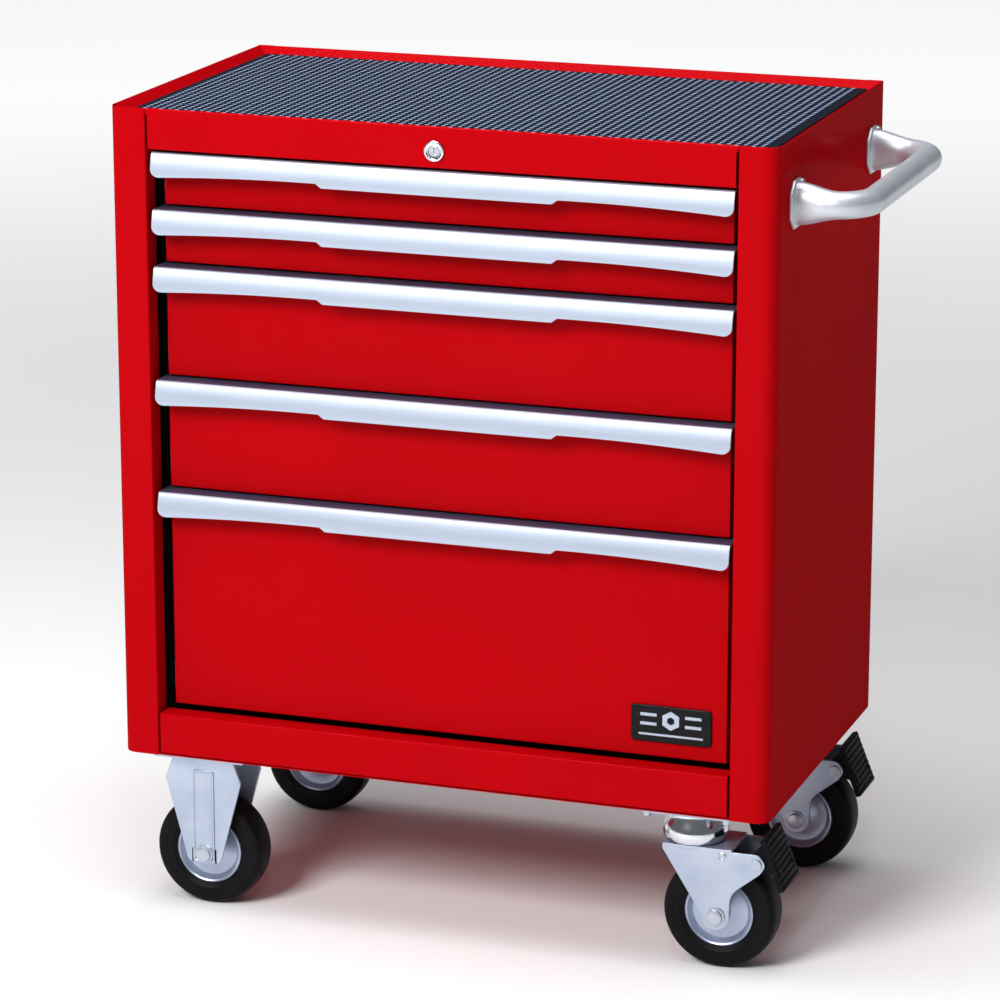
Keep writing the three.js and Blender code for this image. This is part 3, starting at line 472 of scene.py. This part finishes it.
# Near-black racks: painted shade for the dark gap beside the drawers.
rack_painted_shade = matt_finish("rack_painted_shade", RACK_SHADE_BLACK, RACK_SHADE_PALE, 0.5)
for side in ("left", "right"):
    dress_node(f"{side}_slide_rack", rack_painted_shade, SLIDE_EDGE)
    for number in range(1, DRAWER_COUNT + 1):
        dress_node(f"drawer_{number}_{side}_slide", shade_darkened_zinc, SLIDE_EDGE)
for part in ("lock_rod", "lock_bar"):
    dress_node(part, shade_darkened_zinc, SLIDE_EDGE)


# ---- Lock ---------------------------------------------------------------------------------------
# A cam lock in the middle of the top rail: a bright turned bezel with a rounded rim, and a plug with an
# upright key slot that sits a little back in it.

CHROME = (0.72, 0.75, 0.80)
CHROME_DARK = (0.62, 0.65, 0.70)
BEZEL_RADIUS = 0.011
BARREL_RADIUS = 0.009
PLUG_RADIUS = 0.006
PLUG_HOLE = PLUG_RADIUS + 0.0003
PLUG_ROUND = 0.0006
KEY_SLOT = (0.0016, 0.010, 0.0072)


def turned(name, rings, centre, axis, segments=48, solid=False):
    """A round piece, as from a lathe: a circle at centre, extruded and scaled through rings of
    (radius, distance along the axis). A solid one is capped at both ends; in any other, the last
    ring meets the first."""
    turn = Vector((0, 0, 1)).rotation_difference(axis).to_euler()
    radius, along = rings[0]
    bpy.ops.mesh.primitive_circle_add(
        vertices=segments, radius=radius, fill_type="NGON" if solid else "NOTHING",
        location=centre + axis * along, rotation=turn,
    )
    piece = start(name)
    steps = rings[1:] if solid else [*rings[1:], rings[0]]
    for next_radius, next_along in steps:
        bpy.ops.mesh.extrude_region_move(TRANSFORM_OT_translate={"value": axis * (next_along - along)})
        ratio = next_radius / radius
        bpy.ops.transform.resize(value=(ratio, ratio, ratio), center_override=centre + axis * next_along)
        radius, along = next_radius, next_along
    close_up(piece)
    bpy.ops.object.shade_smooth_by_angle(angle=math.radians(32))
    return piece


def bright_chrome():
    finish = new_finish("bright_chrome", CHROME, 1.0, 0.12)
    tint(finish, grain(finish, 40), CHROME_DARK, CHROME)
    dull(finish, grain(finish, 90, detail=4), 0.08, 0.18)
    return finish


chrome = bright_chrome()
forward = Vector((0, -1, 0))
barrel_low, barrel_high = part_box("lock_barrel")
lock_centre = Vector(((barrel_low.x + barrel_high.x) / 2, barrel_low.y, (barrel_low.z + barrel_high.z) / 2))
barrel_length = barrel_high.y - barrel_low.y
bezel = turned("lock_bezel", [
    (PLUG_HOLE, -barrel_length), (BARREL_RADIUS, -barrel_length), (BARREL_RADIUS, -0.0032),
    (BEZEL_RADIUS, -0.0030), (BEZEL_RADIUS, -0.0010), (BEZEL_RADIUS - 0.0004, -0.0003),
    (BEZEL_RADIUS - 0.0011, 0), (0.0086, 0), (0.0080, -0.0003), (0.0074, -0.0008), (PLUG_HOLE, -0.0009),
], lock_centre, forward)
fit_piece(bezel, "cabinet", chrome)
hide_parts("lock_barrel")

plug_low, plug_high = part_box("lock_plug")
plug_centre = Vector((lock_centre.x, plug_low.y, lock_centre.z))
plug_length = plug_high.y - plug_low.y
plug = turned("lock_key_plug", [
    (PLUG_RADIUS, -plug_length), (PLUG_RADIUS, -PLUG_ROUND), (PLUG_RADIUS - PLUG_ROUND, 0),
    (0.0040, 0), (0.0037, -0.0004), (0.0034, -0.0004), (0.0031, 0),
], plug_centre, forward, solid=True)
bpy.ops.mesh.primitive_cube_add(size=1, location=plug_centre)
slot_cutter = bpy.context.object
slot_cutter.scale = KEY_SLOT
start("key_slot")
pick("EDGE", lambda edge: abs(edge.verts[0].co.y - edge.verts[1].co.y) > 0.001)
bpy.ops.mesh.bevel(offset=0.0005, segments=2, affect="EDGES")
close_up(slot_cutter)
key_slot = plug.modifiers.new("key_slot", "BOOLEAN")
key_slot.object = slot_cutter
key_slot.operation = "DIFFERENCE"
apply_modifiers(plug)
bpy.data.objects.remove(slot_cutter)
fit_piece(plug, "lock", chrome)
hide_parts("lock_plug")


# ---- Push handle --------------------------------------------------------------------------------
# A bent steel tube on the right side. Its ends are pressed tall and narrow where they are welded to
# foot plates, and two pan-head screws hold each foot. It is satin chromed.

TUBE_RADIUS = 0.014
BEND_RADIUS = 0.040
FOOT_THICKNESS = 0.003
FOOT_HALF_WIDTH = 0.0225
FLARE_LENGTH = 0.046
FLARE_TALL = 1.62
FLARE_WIDE = 0.95
FOOT_CORNER = 0.012
SCREW_OFFSET = 0.0195
SCREW_SETBACK = 0.012
SCREW_RADIUS = 0.0042
SATIN_COLOUR = (0.62, 0.65, 0.70)
SATIN_DARK = (0.52, 0.55, 0.61)
SATIN_PALE = (0.64, 0.67, 0.72)
SCREW_DARK = (0.36, 0.40, 0.47)
SCREW_PALE = (0.54, 0.58, 0.65)


def satin_chrome():
    finish = new_finish("satin_chrome", SATIN_COLOUR, 0.65, 0.4)
    tint(finish, grain(finish, 45, detail=4), SATIN_DARK, SATIN_PALE)
    dull(finish, grain(finish, 160, detail=4), 0.34, 0.46)
    relief(finish, grain(finish, 1200), 0.00001)
    return finish


def handle_tube(low, high):
    """A circle at the front foot, extruded out, spun round the bends and extruded along the grip."""
    level = (low.z + high.z) / 2
    front, rear = low.y + FOOT_HALF_WIDTH, high.y - FOOT_HALF_WIDTH
    grip = high.x - TUBE_RADIUS
    wall = low.x + FOOT_THICKNESS / 2
    bpy.ops.mesh.primitive_circle_add(
        vertices=32, radius=TUBE_RADIUS, location=(wall, front, level), rotation=(0, math.pi / 2, 0),
    )
    tube = start("push_handle_tube")
    arm = grip - BEND_RADIUS - wall
    steps = 8
    for _ in range(steps):
        bpy.ops.mesh.extrude_region_move(TRANSFORM_OT_translate={"value": (arm / steps, 0, 0)})
    bend_x = grip - BEND_RADIUS
    bpy.ops.mesh.spin(
        steps=10, angle=-math.pi / 2, center=(bend_x, front + BEND_RADIUS, level), axis=(0, 0, 1),
    )
    bpy.ops.mesh.extrude_region_move(
        TRANSFORM_OT_translate={"value": (0, rear - front - 2 * BEND_RADIUS, 0)},
    )
    bpy.ops.mesh.spin(
        steps=10, angle=-math.pi / 2, center=(bend_x, rear - BEND_RADIUS, level), axis=(0, 0, 1),
    )
    for _ in range(steps):
        bpy.ops.mesh.extrude_region_move(TRANSFORM_OT_translate={"value": (-arm / steps, 0, 0)})
    shape = bmesh.from_edit_mesh(tube.data)
    for vertex in shape.verts:
        share = max(0.0, 1 - (vertex.co.x - wall) / FLARE_LENGTH)
        if share > 0:
            blend = share * share * (3 - 2 * share)
            foot = front if vertex.co.y < (front + rear) / 2 else rear
            vertex.co.z = level + (vertex.co.z - level) * (1 + (FLARE_TALL - 1) * blend)
            vertex.co.y = foot + (vertex.co.y - foot) * (1 + (FLARE_WIDE - 1) * blend)
    bmesh.update_edit_mesh(tube.data)
    pick("EDGE", lambda edge: edge.is_boundary)
    bpy.ops.mesh.edge_face_add()
    close_up(tube)
    bpy.ops.object.shade_smooth_by_angle(angle=math.radians(40))
    return tube


def foot_plate(name, low, high, y):
    """An upright plate whose four corners are cut off, behind one end of the tube."""
    bpy.ops.mesh.primitive_cube_add(size=1, location=(low.x + FOOT_THICKNESS / 2, y, (low.z + high.z) / 2))
    bpy.context.object.scale = (FOOT_THICKNESS, 2 * FOOT_HALF_WIDTH, high.z - low.z)
    plate = start(name)
    pick("EDGE", lambda edge: abs(edge.verts[0].co.x - edge.verts[1].co.x) > 0.001)
    bpy.ops.mesh.bevel(offset=FOOT_CORNER, segments=1, affect="EDGES")
    close_up(plate)
    return round_edges(plate, 0.0008)


def pan_head_screw(name, centre, axis, radius):
    """A domed head with a hexagon socket."""
    return turned(name, [
        (radius, 0), (radius, 0.35 * radius), (0.85 * radius, 0.6 * radius), (0.62 * radius, 0.68 * radius),
        (0.45 * radius, 0.68 * radius), (0.42 * radius, 0.3 * radius),
    ], centre, axis, segments=24, solid=True)


satin = satin_chrome()
screw_zinc = zinc_plate("screw_zinc", SCREW_DARK, SCREW_PALE)
handle_low, handle_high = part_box("push_handle")
tube = handle_tube(handle_low, handle_high)
fit_piece(tube, "cabinet", satin)
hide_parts("push_handle")
outward = Vector((1, 0, 0))
for end, foot_y in (("front", handle_low.y + FOOT_HALF_WIDTH), ("rear", handle_high.y - FOOT_HALF_WIDTH)):
    plate = foot_plate(f"push_handle_{end}_foot", handle_low, handle_high, foot_y)
    fit_piece(plate, "cabinet", satin)
    for place, rise in (("lower", -SCREW_OFFSET), ("upper", SCREW_OFFSET)):
        level = (handle_low.z + handle_high.z) / 2 + rise
        seat = Vector((handle_low.x + FOOT_THICKNESS, foot_y + SCREW_SETBACK, level))
        screw = pan_head_screw(f"push_handle_{end}_{place}_screw", seat, outward, SCREW_RADIUS)
        fit_piece(screw, "cabinet", screw_zinc)


# ---- Nameplate ----------------------------------------------------------------------------------
# A small black plate with rounded edges, fixed to the bottom drawer. Bright raised shapes stand on it: a
# plain nut between two pairs of short bars, over one long bar.

PLATE_EDGE = 0.0009
MARK_HEIGHT = 0.0007
MARK_SUNK = 0.0001
MARK_EDGE = 0.0003
NUT_HOLE = 0.0045
NUT_RADIUS = 0.0105
NUT_RISE = 0.005
LONG_BAR_RISE = 0.0085
LONG_BAR_SHARE = 0.8
LONG_BAR_WIDTH = 0.0024
SHORT_BAR = (0.018, MARK_HEIGHT, 0.0034)
SHORT_BAR_REACH = 0.0245
SHORT_BAR_RISE = 0.005


def bar(name, centre, size, edge):
    """A low bar with rounded edges, lying on a face that looks forward."""
    bpy.ops.mesh.primitive_cube_add(size=1, location=centre)
    bpy.context.object.scale = size
    piece = start(name)
    close_up(piece)
    return round_edges(piece, edge)


def join_pieces(name, pieces):
    bpy.ops.object.select_all(action="DESELECT")
    for piece in pieces:
        piece.select_set(True)
    bpy.context.view_layer.objects.active = pieces[0]
    bpy.ops.object.join()
    joined = bpy.context.object
    joined.name = name
    joined.data.name = name
    return joined


def gloss_black():
    finish = new_finish("gloss_black", (0.004, 0.004, 0.005), 0.0, 0.22)
    shader_of(finish).inputs["Specular IOR Level"].default_value = 0.12
    tint(finish, grain(finish, 90), (0.003, 0.003, 0.004), (0.006, 0.006, 0.008))
    dull(finish, grain(finish, 120, detail=4), 0.16, 0.30)
    return finish


plate_low, plate_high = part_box("nameplate")
dress_node("nameplate", gloss_black(), PLATE_EDGE)
plate_middle = (plate_low + plate_high) / 2
mark_y = plate_low.y - MARK_HEIGHT / 2 + MARK_SUNK
nut_centre = Vector((plate_middle.x, plate_low.y, plate_middle.z + NUT_RISE))
nut_rings = [(NUT_HOLE, 0), (NUT_RADIUS, 0), (NUT_RADIUS, MARK_HEIGHT), (NUT_HOLE, MARK_HEIGHT)]
long_centre = Vector((plate_middle.x, mark_y, plate_low.z + LONG_BAR_RISE))
long_size = (LONG_BAR_SHARE * (plate_high.x - plate_low.x), MARK_HEIGHT, LONG_BAR_WIDTH)
marks = [
    turned("nut", nut_rings, nut_centre, forward, segments=6),
    bar("long_bar", long_centre, long_size, MARK_EDGE),
]
for side in (-1, 1):
    for row in (-SHORT_BAR_RISE, SHORT_BAR_RISE):
        spot = Vector((plate_middle.x + side * SHORT_BAR_REACH, mark_y, nut_centre.z + row))
        marks.append(bar("short_bar", spot, SHORT_BAR, MARK_EDGE))
fit_piece(join_pieces("nameplate_relief", marks), "drawer_5", anodised)


# ---- Caster wheels ------------------------------------------------------------------------------
# Each wheel is a pressed and zinc-plated disc rim with a turned hub, in a solid black rubber tyre with
# rounded shoulders, on a shaft with a round head outside and a washer under it.

TYRE_BLACK = (0.0022, 0.0022, 0.0028)
TYRE_WORN = (0.0045, 0.0045, 0.0055)
RIM_DARK = (0.30, 0.35, 0.47)
RIM_PALE = (0.50, 0.56, 0.69)
SIDEWAYS = Vector((0, 1, 0))
TYRE_HALF = [
    (0.0386, 0.0150), (0.0400, 0.0158), (0.0425, 0.0166), (0.0440, 0.0176),
    (0.0452, 0.0172), (0.0500, 0.0180), (0.0545, 0.0188), (0.0575, 0.0182),
    (0.0598, 0.0165), (0.0610, 0.0140), (0.0616, 0.0110), (None, 0.0060),
]
RIM_HALF = [
    (0.0054, 0.0260), (0.0100, 0.0260), (0.0108, 0.0252), (0.0110, 0.0150),
    (0.0122, 0.0118), (0.0150, 0.0102), (0.0255, 0.0088), (0.0305, 0.0096),
    (0.0330, 0.0122), (0.0348, 0.0162), (0.0362, 0.0170), (0.0374, 0.0162), (0.0378, 0.0140),
]
SHAFT_HALF = [
    (0.0062, 0.0358), (0.0080, 0.0352), (0.0086, 0.0340), (0.0086, 0.0322),
    (0.0104, 0.0318), (0.0104, 0.0303), (0.0049, 0.0303),
]


def both_sides(half, radius=None):
    """A profile and its mirror image, as one run of rings; a missing radius is the given one."""
    rings = [(given or radius, y) for given, y in half]
    return [*rings, *[(given, -y) for given, y in reversed(rings)]]


def wheel(prefix, spin_body, axle_body):
    """A tyre and a rim that spin together, on a shaft that stays with the bracket or the fork."""
    low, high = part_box(f"{prefix}_tyre")
    centre = (low + high) / 2
    tread = (high.z - low.z) / 2
    tyre = turned(f"{prefix}_rubber_tyre", both_sides(TYRE_HALF, tread), centre, SIDEWAYS, segments=72)
    fit_piece(tyre, spin_body, tyre_rubber)
    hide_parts(f"{prefix}_tyre")
    rim = turned(f"{prefix}_disc_rim", both_sides(RIM_HALF), centre, SIDEWAYS, segments=64)
    fit_piece(rim, spin_body, rim_zinc)
    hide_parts(f"{prefix}_rim")
    shaft = turned(f"{prefix}_shaft", both_sides(SHAFT_HALF), centre, SIDEWAYS, segments=32, solid=True)
    fit_piece(shaft, axle_body, screw_zinc)
    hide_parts(f"{prefix}_axle_bolt")


tyre_rubber = matt_finish("tyre_rubber", TYRE_BLACK, TYRE_WORN, 0.5)
rim_zinc = zinc_plate("rim_zinc", RIM_DARK, RIM_PALE)
for end in ("front", "rear"):
    wheel(f"{end}_fixed", f"{end}_fixed_wheel", "cabinet")
    wheel(f"{end}_swivel", f"{end}_swivel_wheel", f"{end}_swivel")


# ---- Fixed caster brackets ----------------------------------------------------------------------
# One pressing of 3 mm plate for each left-hand caster. A long channel is pressed into each leg to
# stiffen it, with a slit on both sides of the shaft, shown by a dark strip of painted shade, and its top
# plate is spot welded to the bottom pan.

BRACKET_DARK = (0.33, 0.39, 0.50)
BRACKET_PALE = (0.50, 0.56, 0.67)
BRACKET_EDGE = 0.0005
LEG_FACE = 0.030
CHANNEL_WIDTH = 0.0254
CHANNEL_PROUD = 0.0017
CHANNEL_SUNK = 0.0002
CHANNEL_CORNER = 0.004
CHANNEL_RIM = 0.0020
CHANNEL_SLOPE = 0.0008
CHANNEL_DROP = 0.0015
CHANNEL_BELOW_TOP = 0.019
CHANNEL_ABOVE_FOOT = 0.001
SLIT_WIDTH = 0.0014
SLIT_HEIGHT = 0.0165
SLIT_DEPTH = 0.0036
SLIT_MIDDLE = 0.0288
SLIT_BESIDE = 0.0009


def pressed_channel(name, centre_x, face_y, side, top, bottom):
    """A raised strip on a leg's outer face, with a shallow sunk middle."""
    centre = (centre_x, face_y + side * (CHANNEL_PROUD / 2 - CHANNEL_SUNK), (top + bottom) / 2)
    bpy.ops.mesh.primitive_cube_add(size=1, location=centre)
    bpy.context.object.scale = (CHANNEL_WIDTH, CHANNEL_PROUD + 2 * CHANNEL_SUNK, top - bottom)
    strip = start(name)
    pick("EDGE", lambda edge: abs(edge.verts[0].co.y - edge.verts[1].co.y) > 0.0005)
    bpy.ops.mesh.bevel(offset=CHANNEL_CORNER, segments=4, affect="EDGES")
    pick("FACE", lambda face: face.normal.y * side > FACES_STRAIGHT)
    bpy.ops.mesh.inset(thickness=CHANNEL_RIM, depth=0)
    bpy.ops.mesh.inset(thickness=CHANNEL_SLOPE, depth=-CHANNEL_DROP)
    close_up(strip)
    return round_edges(strip, 0.0005)


def slit_shade_strip(name, x, y, bottom):
    """A dark strip, painted shade for the inside of a slit that runs up from the leg's foot, beside the
    shaft.
    """
    bpy.ops.mesh.primitive_cube_add(size=1, location=(x, y, bottom + SLIT_HEIGHT / 2))
    bpy.context.object.scale = (SLIT_WIDTH, SLIT_DEPTH, SLIT_HEIGHT)
    slit = start(name)
    pick("EDGE", lambda edge: abs(edge.verts[0].co.y - edge.verts[1].co.y) > 0.001)
    bpy.ops.mesh.bevel(offset=0.0006, segments=2, affect="EDGES")
    close_up(slit)
    return round_edges(slit, 0.0001)


bracket_zinc = zinc_plate("bracket_zinc", BRACKET_DARK, BRACKET_PALE)
# The slit strips borrow the tyre black as painted shade inside the slits.
slit_painted_shade = matt_finish("slit_painted_shade", TYRE_BLACK, TYRE_WORN, 0.5)
for end in ("front", "rear"):
    bracket = f"{end}_fixed_bracket"
    dress_node(bracket, bracket_zinc, BRACKET_EDGE)
    low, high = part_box(bracket)
    middle_x, middle_y = (low.x + high.x) / 2, (low.y + high.y) / 2
    for place, side in (("outer", -1), ("inner", 1)):
        strip = pressed_channel(
            f"{bracket}_{place}_channel", middle_x, middle_y + side * LEG_FACE, side,
            high.z - CHANNEL_BELOW_TOP, low.z + CHANNEL_ABOVE_FOOT,
        )
        fit_piece(strip, "cabinet", bracket_zinc)
        for hand, way in (("left", -1), ("right", 1)):
            slit = slit_shade_strip(
                f"{bracket}_{place}_{hand}_slit", middle_x + way * (CHANNEL_WIDTH / 2 + SLIT_BESIDE),
                middle_y + side * SLIT_MIDDLE, low.z,
            )
            fit_piece(slit, "cabinet", slit_painted_shade)


# ---- Swivel casters -----------------------------------------------------------------------------
# A top plate with a chromed ball-race bell under it, bolted below the bottom pan, and a fork that turns
# under the bell, with its wheel trailing behind the kingpin. A rivet stands on each leg of the fork.

BELL = [
    (0.0064, -0.0040), (0.0290, -0.0040), (0.0300, -0.0052), (0.0290, -0.0066), (0.0292, -0.0100),
    (0.0305, -0.0150), (0.0330, -0.0205), (0.0347, -0.0255), (0.0351, -0.0300), (0.0348, -0.0338),
    (0.0338, -0.0368), (0.0320, -0.0386), (0.0296, -0.0390), (0.0270, -0.0380),
    (0.0250, -0.0345), (0.0064, -0.0345),
]
TOP_PLATE_THICKNESS = 0.004
TOP_PLATE_CORNER = 0.008
BOLT_OUT_X = 0.0435
BOLT_OUT_Y = 0.0335
BOLT_ACROSS = 0.010
FORK_HALF = 0.030
RIVET_BEHIND = 0.0378
RIVET_BELOW = 0.0475
RIVET_RADIUS = 0.0048
PIN_EDGE = 0.0005


def swivel_plate(name, low, high):
    """The flat plate that is bolted under the body, with rounded corners."""
    centre = Vector(((low.x + high.x) / 2, (low.y + high.y) / 2, high.z - TOP_PLATE_THICKNESS / 2))
    bpy.ops.mesh.primitive_cube_add(size=1, location=centre)
    bpy.context.object.scale = (high.x - low.x, high.y - low.y, TOP_PLATE_THICKNESS)
    plate = start(name)
    pick("EDGE", lambda edge: abs(edge.verts[0].co.z - edge.verts[1].co.z) > 0.001)
    bpy.ops.mesh.bevel(offset=TOP_PLATE_CORNER, segments=4, affect="EDGES")
    close_up(plate)
    return round_edges(plate, 0.0005)


def hexagon_bolt(name, centre, axis, across):
    """A hexagon head with a flange."""
    return turned(name, [
        (0.62 * across, 0), (0.62 * across, 0.1 * across), (across / math.sqrt(3), 0.1 * across),
        (across / math.sqrt(3), 0.46 * across), (0.48 * across, 0.52 * across),
    ], centre, axis, segments=6, solid=True)


def plate_bolts(prefix, plate_low, plate_high, plate_bottom):
    """Four bolts under a caster's top plate, one at each corner."""
    for number, (side_x, side_y) in enumerate(((-1, -1), (1, -1), (1, 1), (-1, 1)), 1):
        spot = Vector((
            (plate_low.x + plate_high.x) / 2 + side_x * BOLT_OUT_X,
            (plate_low.y + plate_high.y) / 2 + side_y * BOLT_OUT_Y,
            plate_bottom,
        ))
        bolt = hexagon_bolt(f"{prefix}_plate_bolt_{number}", spot, Vector((0, 0, -1)), BOLT_ACROSS)
        fit_piece(bolt, "cabinet", screw_zinc)


def rivet(name, centre, axis, radius):
    """A low round head with a sunk middle."""
    return turned(name, [
        (radius, -0.0002), (radius, 0.0006), (0.8 * radius, 0.0014), (0.62 * radius, 0.0016),
        (0.45 * radius, 0.0010), (0.30 * radius, 0.0009),
    ], centre, axis, segments=24, solid=True)


for end in ("front", "rear"):
    low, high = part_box(f"{end}_swivel_top_plate")
    axis_point = Vector(((low.x + high.x) / 2, (low.y + high.y) / 2, high.z))
    bell = turned(f"{end}_swivel_bell", BELL, axis_point, Vector((0, 0, 1)), segments=64)
    fit_piece(bell, "cabinet", chrome)
    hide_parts(f"{end}_swivel_top_plate")
    plate = swivel_plate(f"{end}_swivel_mounting_plate", low, high)
    fit_piece(plate, "cabinet", bracket_zinc)
    plate_bolts(f"{end}_swivel", low, high, high.z - TOP_PLATE_THICKNESS)
    dress_node(f"{end}_swivel_fork", bracket_zinc, BRACKET_EDGE)
    dress_node(f"{end}_swivel_kingpin", screw_zinc, PIN_EDGE)
    dress_node(f"{end}_swivel_pedal_pin", screw_zinc, PIN_EDGE)
    for place, side in (("outer", -1), ("inner", 1)):
        spot = axis_point + Vector((RIVET_BEHIND, side * FORK_HALF, -RIVET_BELOW))
        head = rivet(f"{end}_swivel_{place}_rivet", spot, Vector((0, side, 0)), RIVET_RADIUS)
        fit_piece(head, f"{end}_swivel", screw_zinc)


# ---- Brake pedals -------------------------------------------------------------------------------
# A black moulded pedal on each swivel caster, ribbed across its outer face for the sole of a shoe. It is
# hung on a steel pin between the fork's legs.

PEDAL_BLACK = (0.0018, 0.0020, 0.0028)
PEDAL_WORN = (0.0036, 0.0039, 0.0052)
PEDAL_EDGE = 0.0008
RIB_COUNT = 9
RIB_HEIGHT = 0.0012
RIB_WIDTH = 0.0028
RIB_SHORTER = 0.004
RIB_EDGE = 0.0006
RIBS_TOP = Vector((0.009, 0, 0.029))
RIBS_FOOT = Vector((0.031, 0, -0.026))


def pedal_ribs(name, top, foot, low_y, high_y):
    """One rounded rib, repeated down the pedal's sloping outer face."""
    run = foot - top
    slope = math.atan2(-run.z, run.x)
    pitch = run / RIB_COUNT
    bpy.ops.mesh.primitive_cube_add(size=1, location=top + pitch / 2, rotation=(0, slope, 0))
    bpy.context.object.scale = (RIB_WIDTH, high_y - low_y - RIB_SHORTER, 2 * RIB_HEIGHT)
    ribs = start(name)
    close_up(ribs)
    repeat = ribs.modifiers.new("repeat", "ARRAY")
    repeat.count = RIB_COUNT
    repeat.use_relative_offset = False
    repeat.use_constant_offset = True
    repeat.constant_offset_displace = pitch
    return round_edges(ribs, RIB_EDGE)


pedal_black = matt_finish("pedal_black", PEDAL_BLACK, PEDAL_WORN, 0.55)
for end in ("front", "rear"):
    dress_node(f"{end}_swivel_brake_pedal", pedal_black, PEDAL_EDGE)
    low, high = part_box(f"{end}_swivel_brake_pedal")
    pin_low, pin_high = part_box(f"{end}_swivel_pedal_pin")
    pin = (pin_low + pin_high) / 2
    ribs_name = f"{end}_swivel_pedal_ribs"
    ribs = pedal_ribs(ribs_name, pin + RIBS_TOP, pin + RIBS_FOOT, low.y, high.y)
    fit_piece(ribs, f"{end}_swivel_pedal", pedal_black)


# ---- Studio -------------------------------------------------------------------------------------
# A wide pale floor that glows a little farther out, a large soft light from the front left, one above and
# a narrow one for the edges, and a long lens a little above the tray, to the right of the cabinet.

FLOOR_SIZE = 30
FLOOR_PALE = (0.86, 0.86, 0.86)
CAMERA_PLACE = Vector((1.4268, -4.2203, 1.6729))
CAMERA_YAW = math.radians(19.224)
CAMERA_PITCH = math.radians(15.408)
LENS = 152.55
GLOW_START = 1.2
GLOW_END = 5.5
GLOW = 0.72

bpy.ops.mesh.primitive_plane_add(size=FLOOR_SIZE, location=(0, 0, 0))
floor = bpy.context.object
floor.name = "studio_floor"
floor_finish = new_finish("pale_floor", FLOOR_PALE, 0.0, 0.7)
tint(floor_finish, grain(floor_finish, 0.6), (0.84, 0.84, 0.845), (0.88, 0.88, 0.88))
floor_nodes, floor_links = floor_finish.node_tree.nodes, floor_finish.node_tree.links
floor_place = floor_nodes.new("ShaderNodeTexCoord")
floor_reach = floor_nodes.new("ShaderNodeVectorMath")
floor_reach.operation = "LENGTH"
floor_glow = floor_nodes.new("ShaderNodeMapRange")
floor_glow.interpolation_type = "SMOOTHSTEP"
floor_glow.inputs["From Min"].default_value = GLOW_START
floor_glow.inputs["From Max"].default_value = GLOW_END
floor_glow.inputs["To Max"].default_value = GLOW
floor_links.new(floor_place.outputs["Object"], floor_reach.inputs[0])
floor_links.new(floor_reach.outputs["Value"], floor_glow.inputs["Value"])
floor_links.new(floor_glow.outputs["Result"], shader_of(floor_finish).inputs["Emission Strength"])
shader_of(floor_finish).inputs["Emission Color"].default_value = (1, 1, 1, 1)
floor.data.materials.append(floor_finish)


def soft_light(name, place, aim, size, power):
    """An upright rectangle of light, its size in metres and its power in watts, turned to the aim."""
    light = bpy.data.lights.new(name, "AREA")
    light.shape = "RECTANGLE"
    light.size, light.size_y = size
    light.energy = power
    lamp = bpy.data.objects.new(name, light)
    lamp.location = place
    lamp.rotation_euler = (Vector(aim) - Vector(place)).to_track_quat("-Z", "Y").to_euler()
    bpy.context.scene.collection.objects.link(lamp)


soft_light("front_light", (-1.1, -3.3, 2.8), (0, 0, 0.4), (1.5, 1.5), 165)
soft_light("top_light", (-0.1, -0.2, 3.6), (0, 0, 0), (2.4, 2.4), 105)
soft_light("edge_light", (1.1, -3.2, 3.0), (0.3, 0, 0.6), (0.3, 1.6), 9)

world = bpy.data.worlds.new("studio_air")
world.use_nodes = True
world.node_tree.nodes["Background"].inputs["Color"].default_value = (0.93, 0.95, 1.0, 1)
world.node_tree.nodes["Background"].inputs["Strength"].default_value = 0.16
bpy.context.scene.world = world

camera_data = bpy.data.cameras.new("studio_camera")
camera_data.lens = LENS
camera = bpy.data.objects.new("studio_camera", camera_data)
camera.location = CAMERA_PLACE
camera.rotation_euler = (math.pi / 2 - CAMERA_PITCH, 0, CAMERA_YAW)
bpy.context.scene.collection.objects.link(camera)
bpy.context.scene.camera = camera
bpy.context.scene.view_settings.view_transform = "Standard"
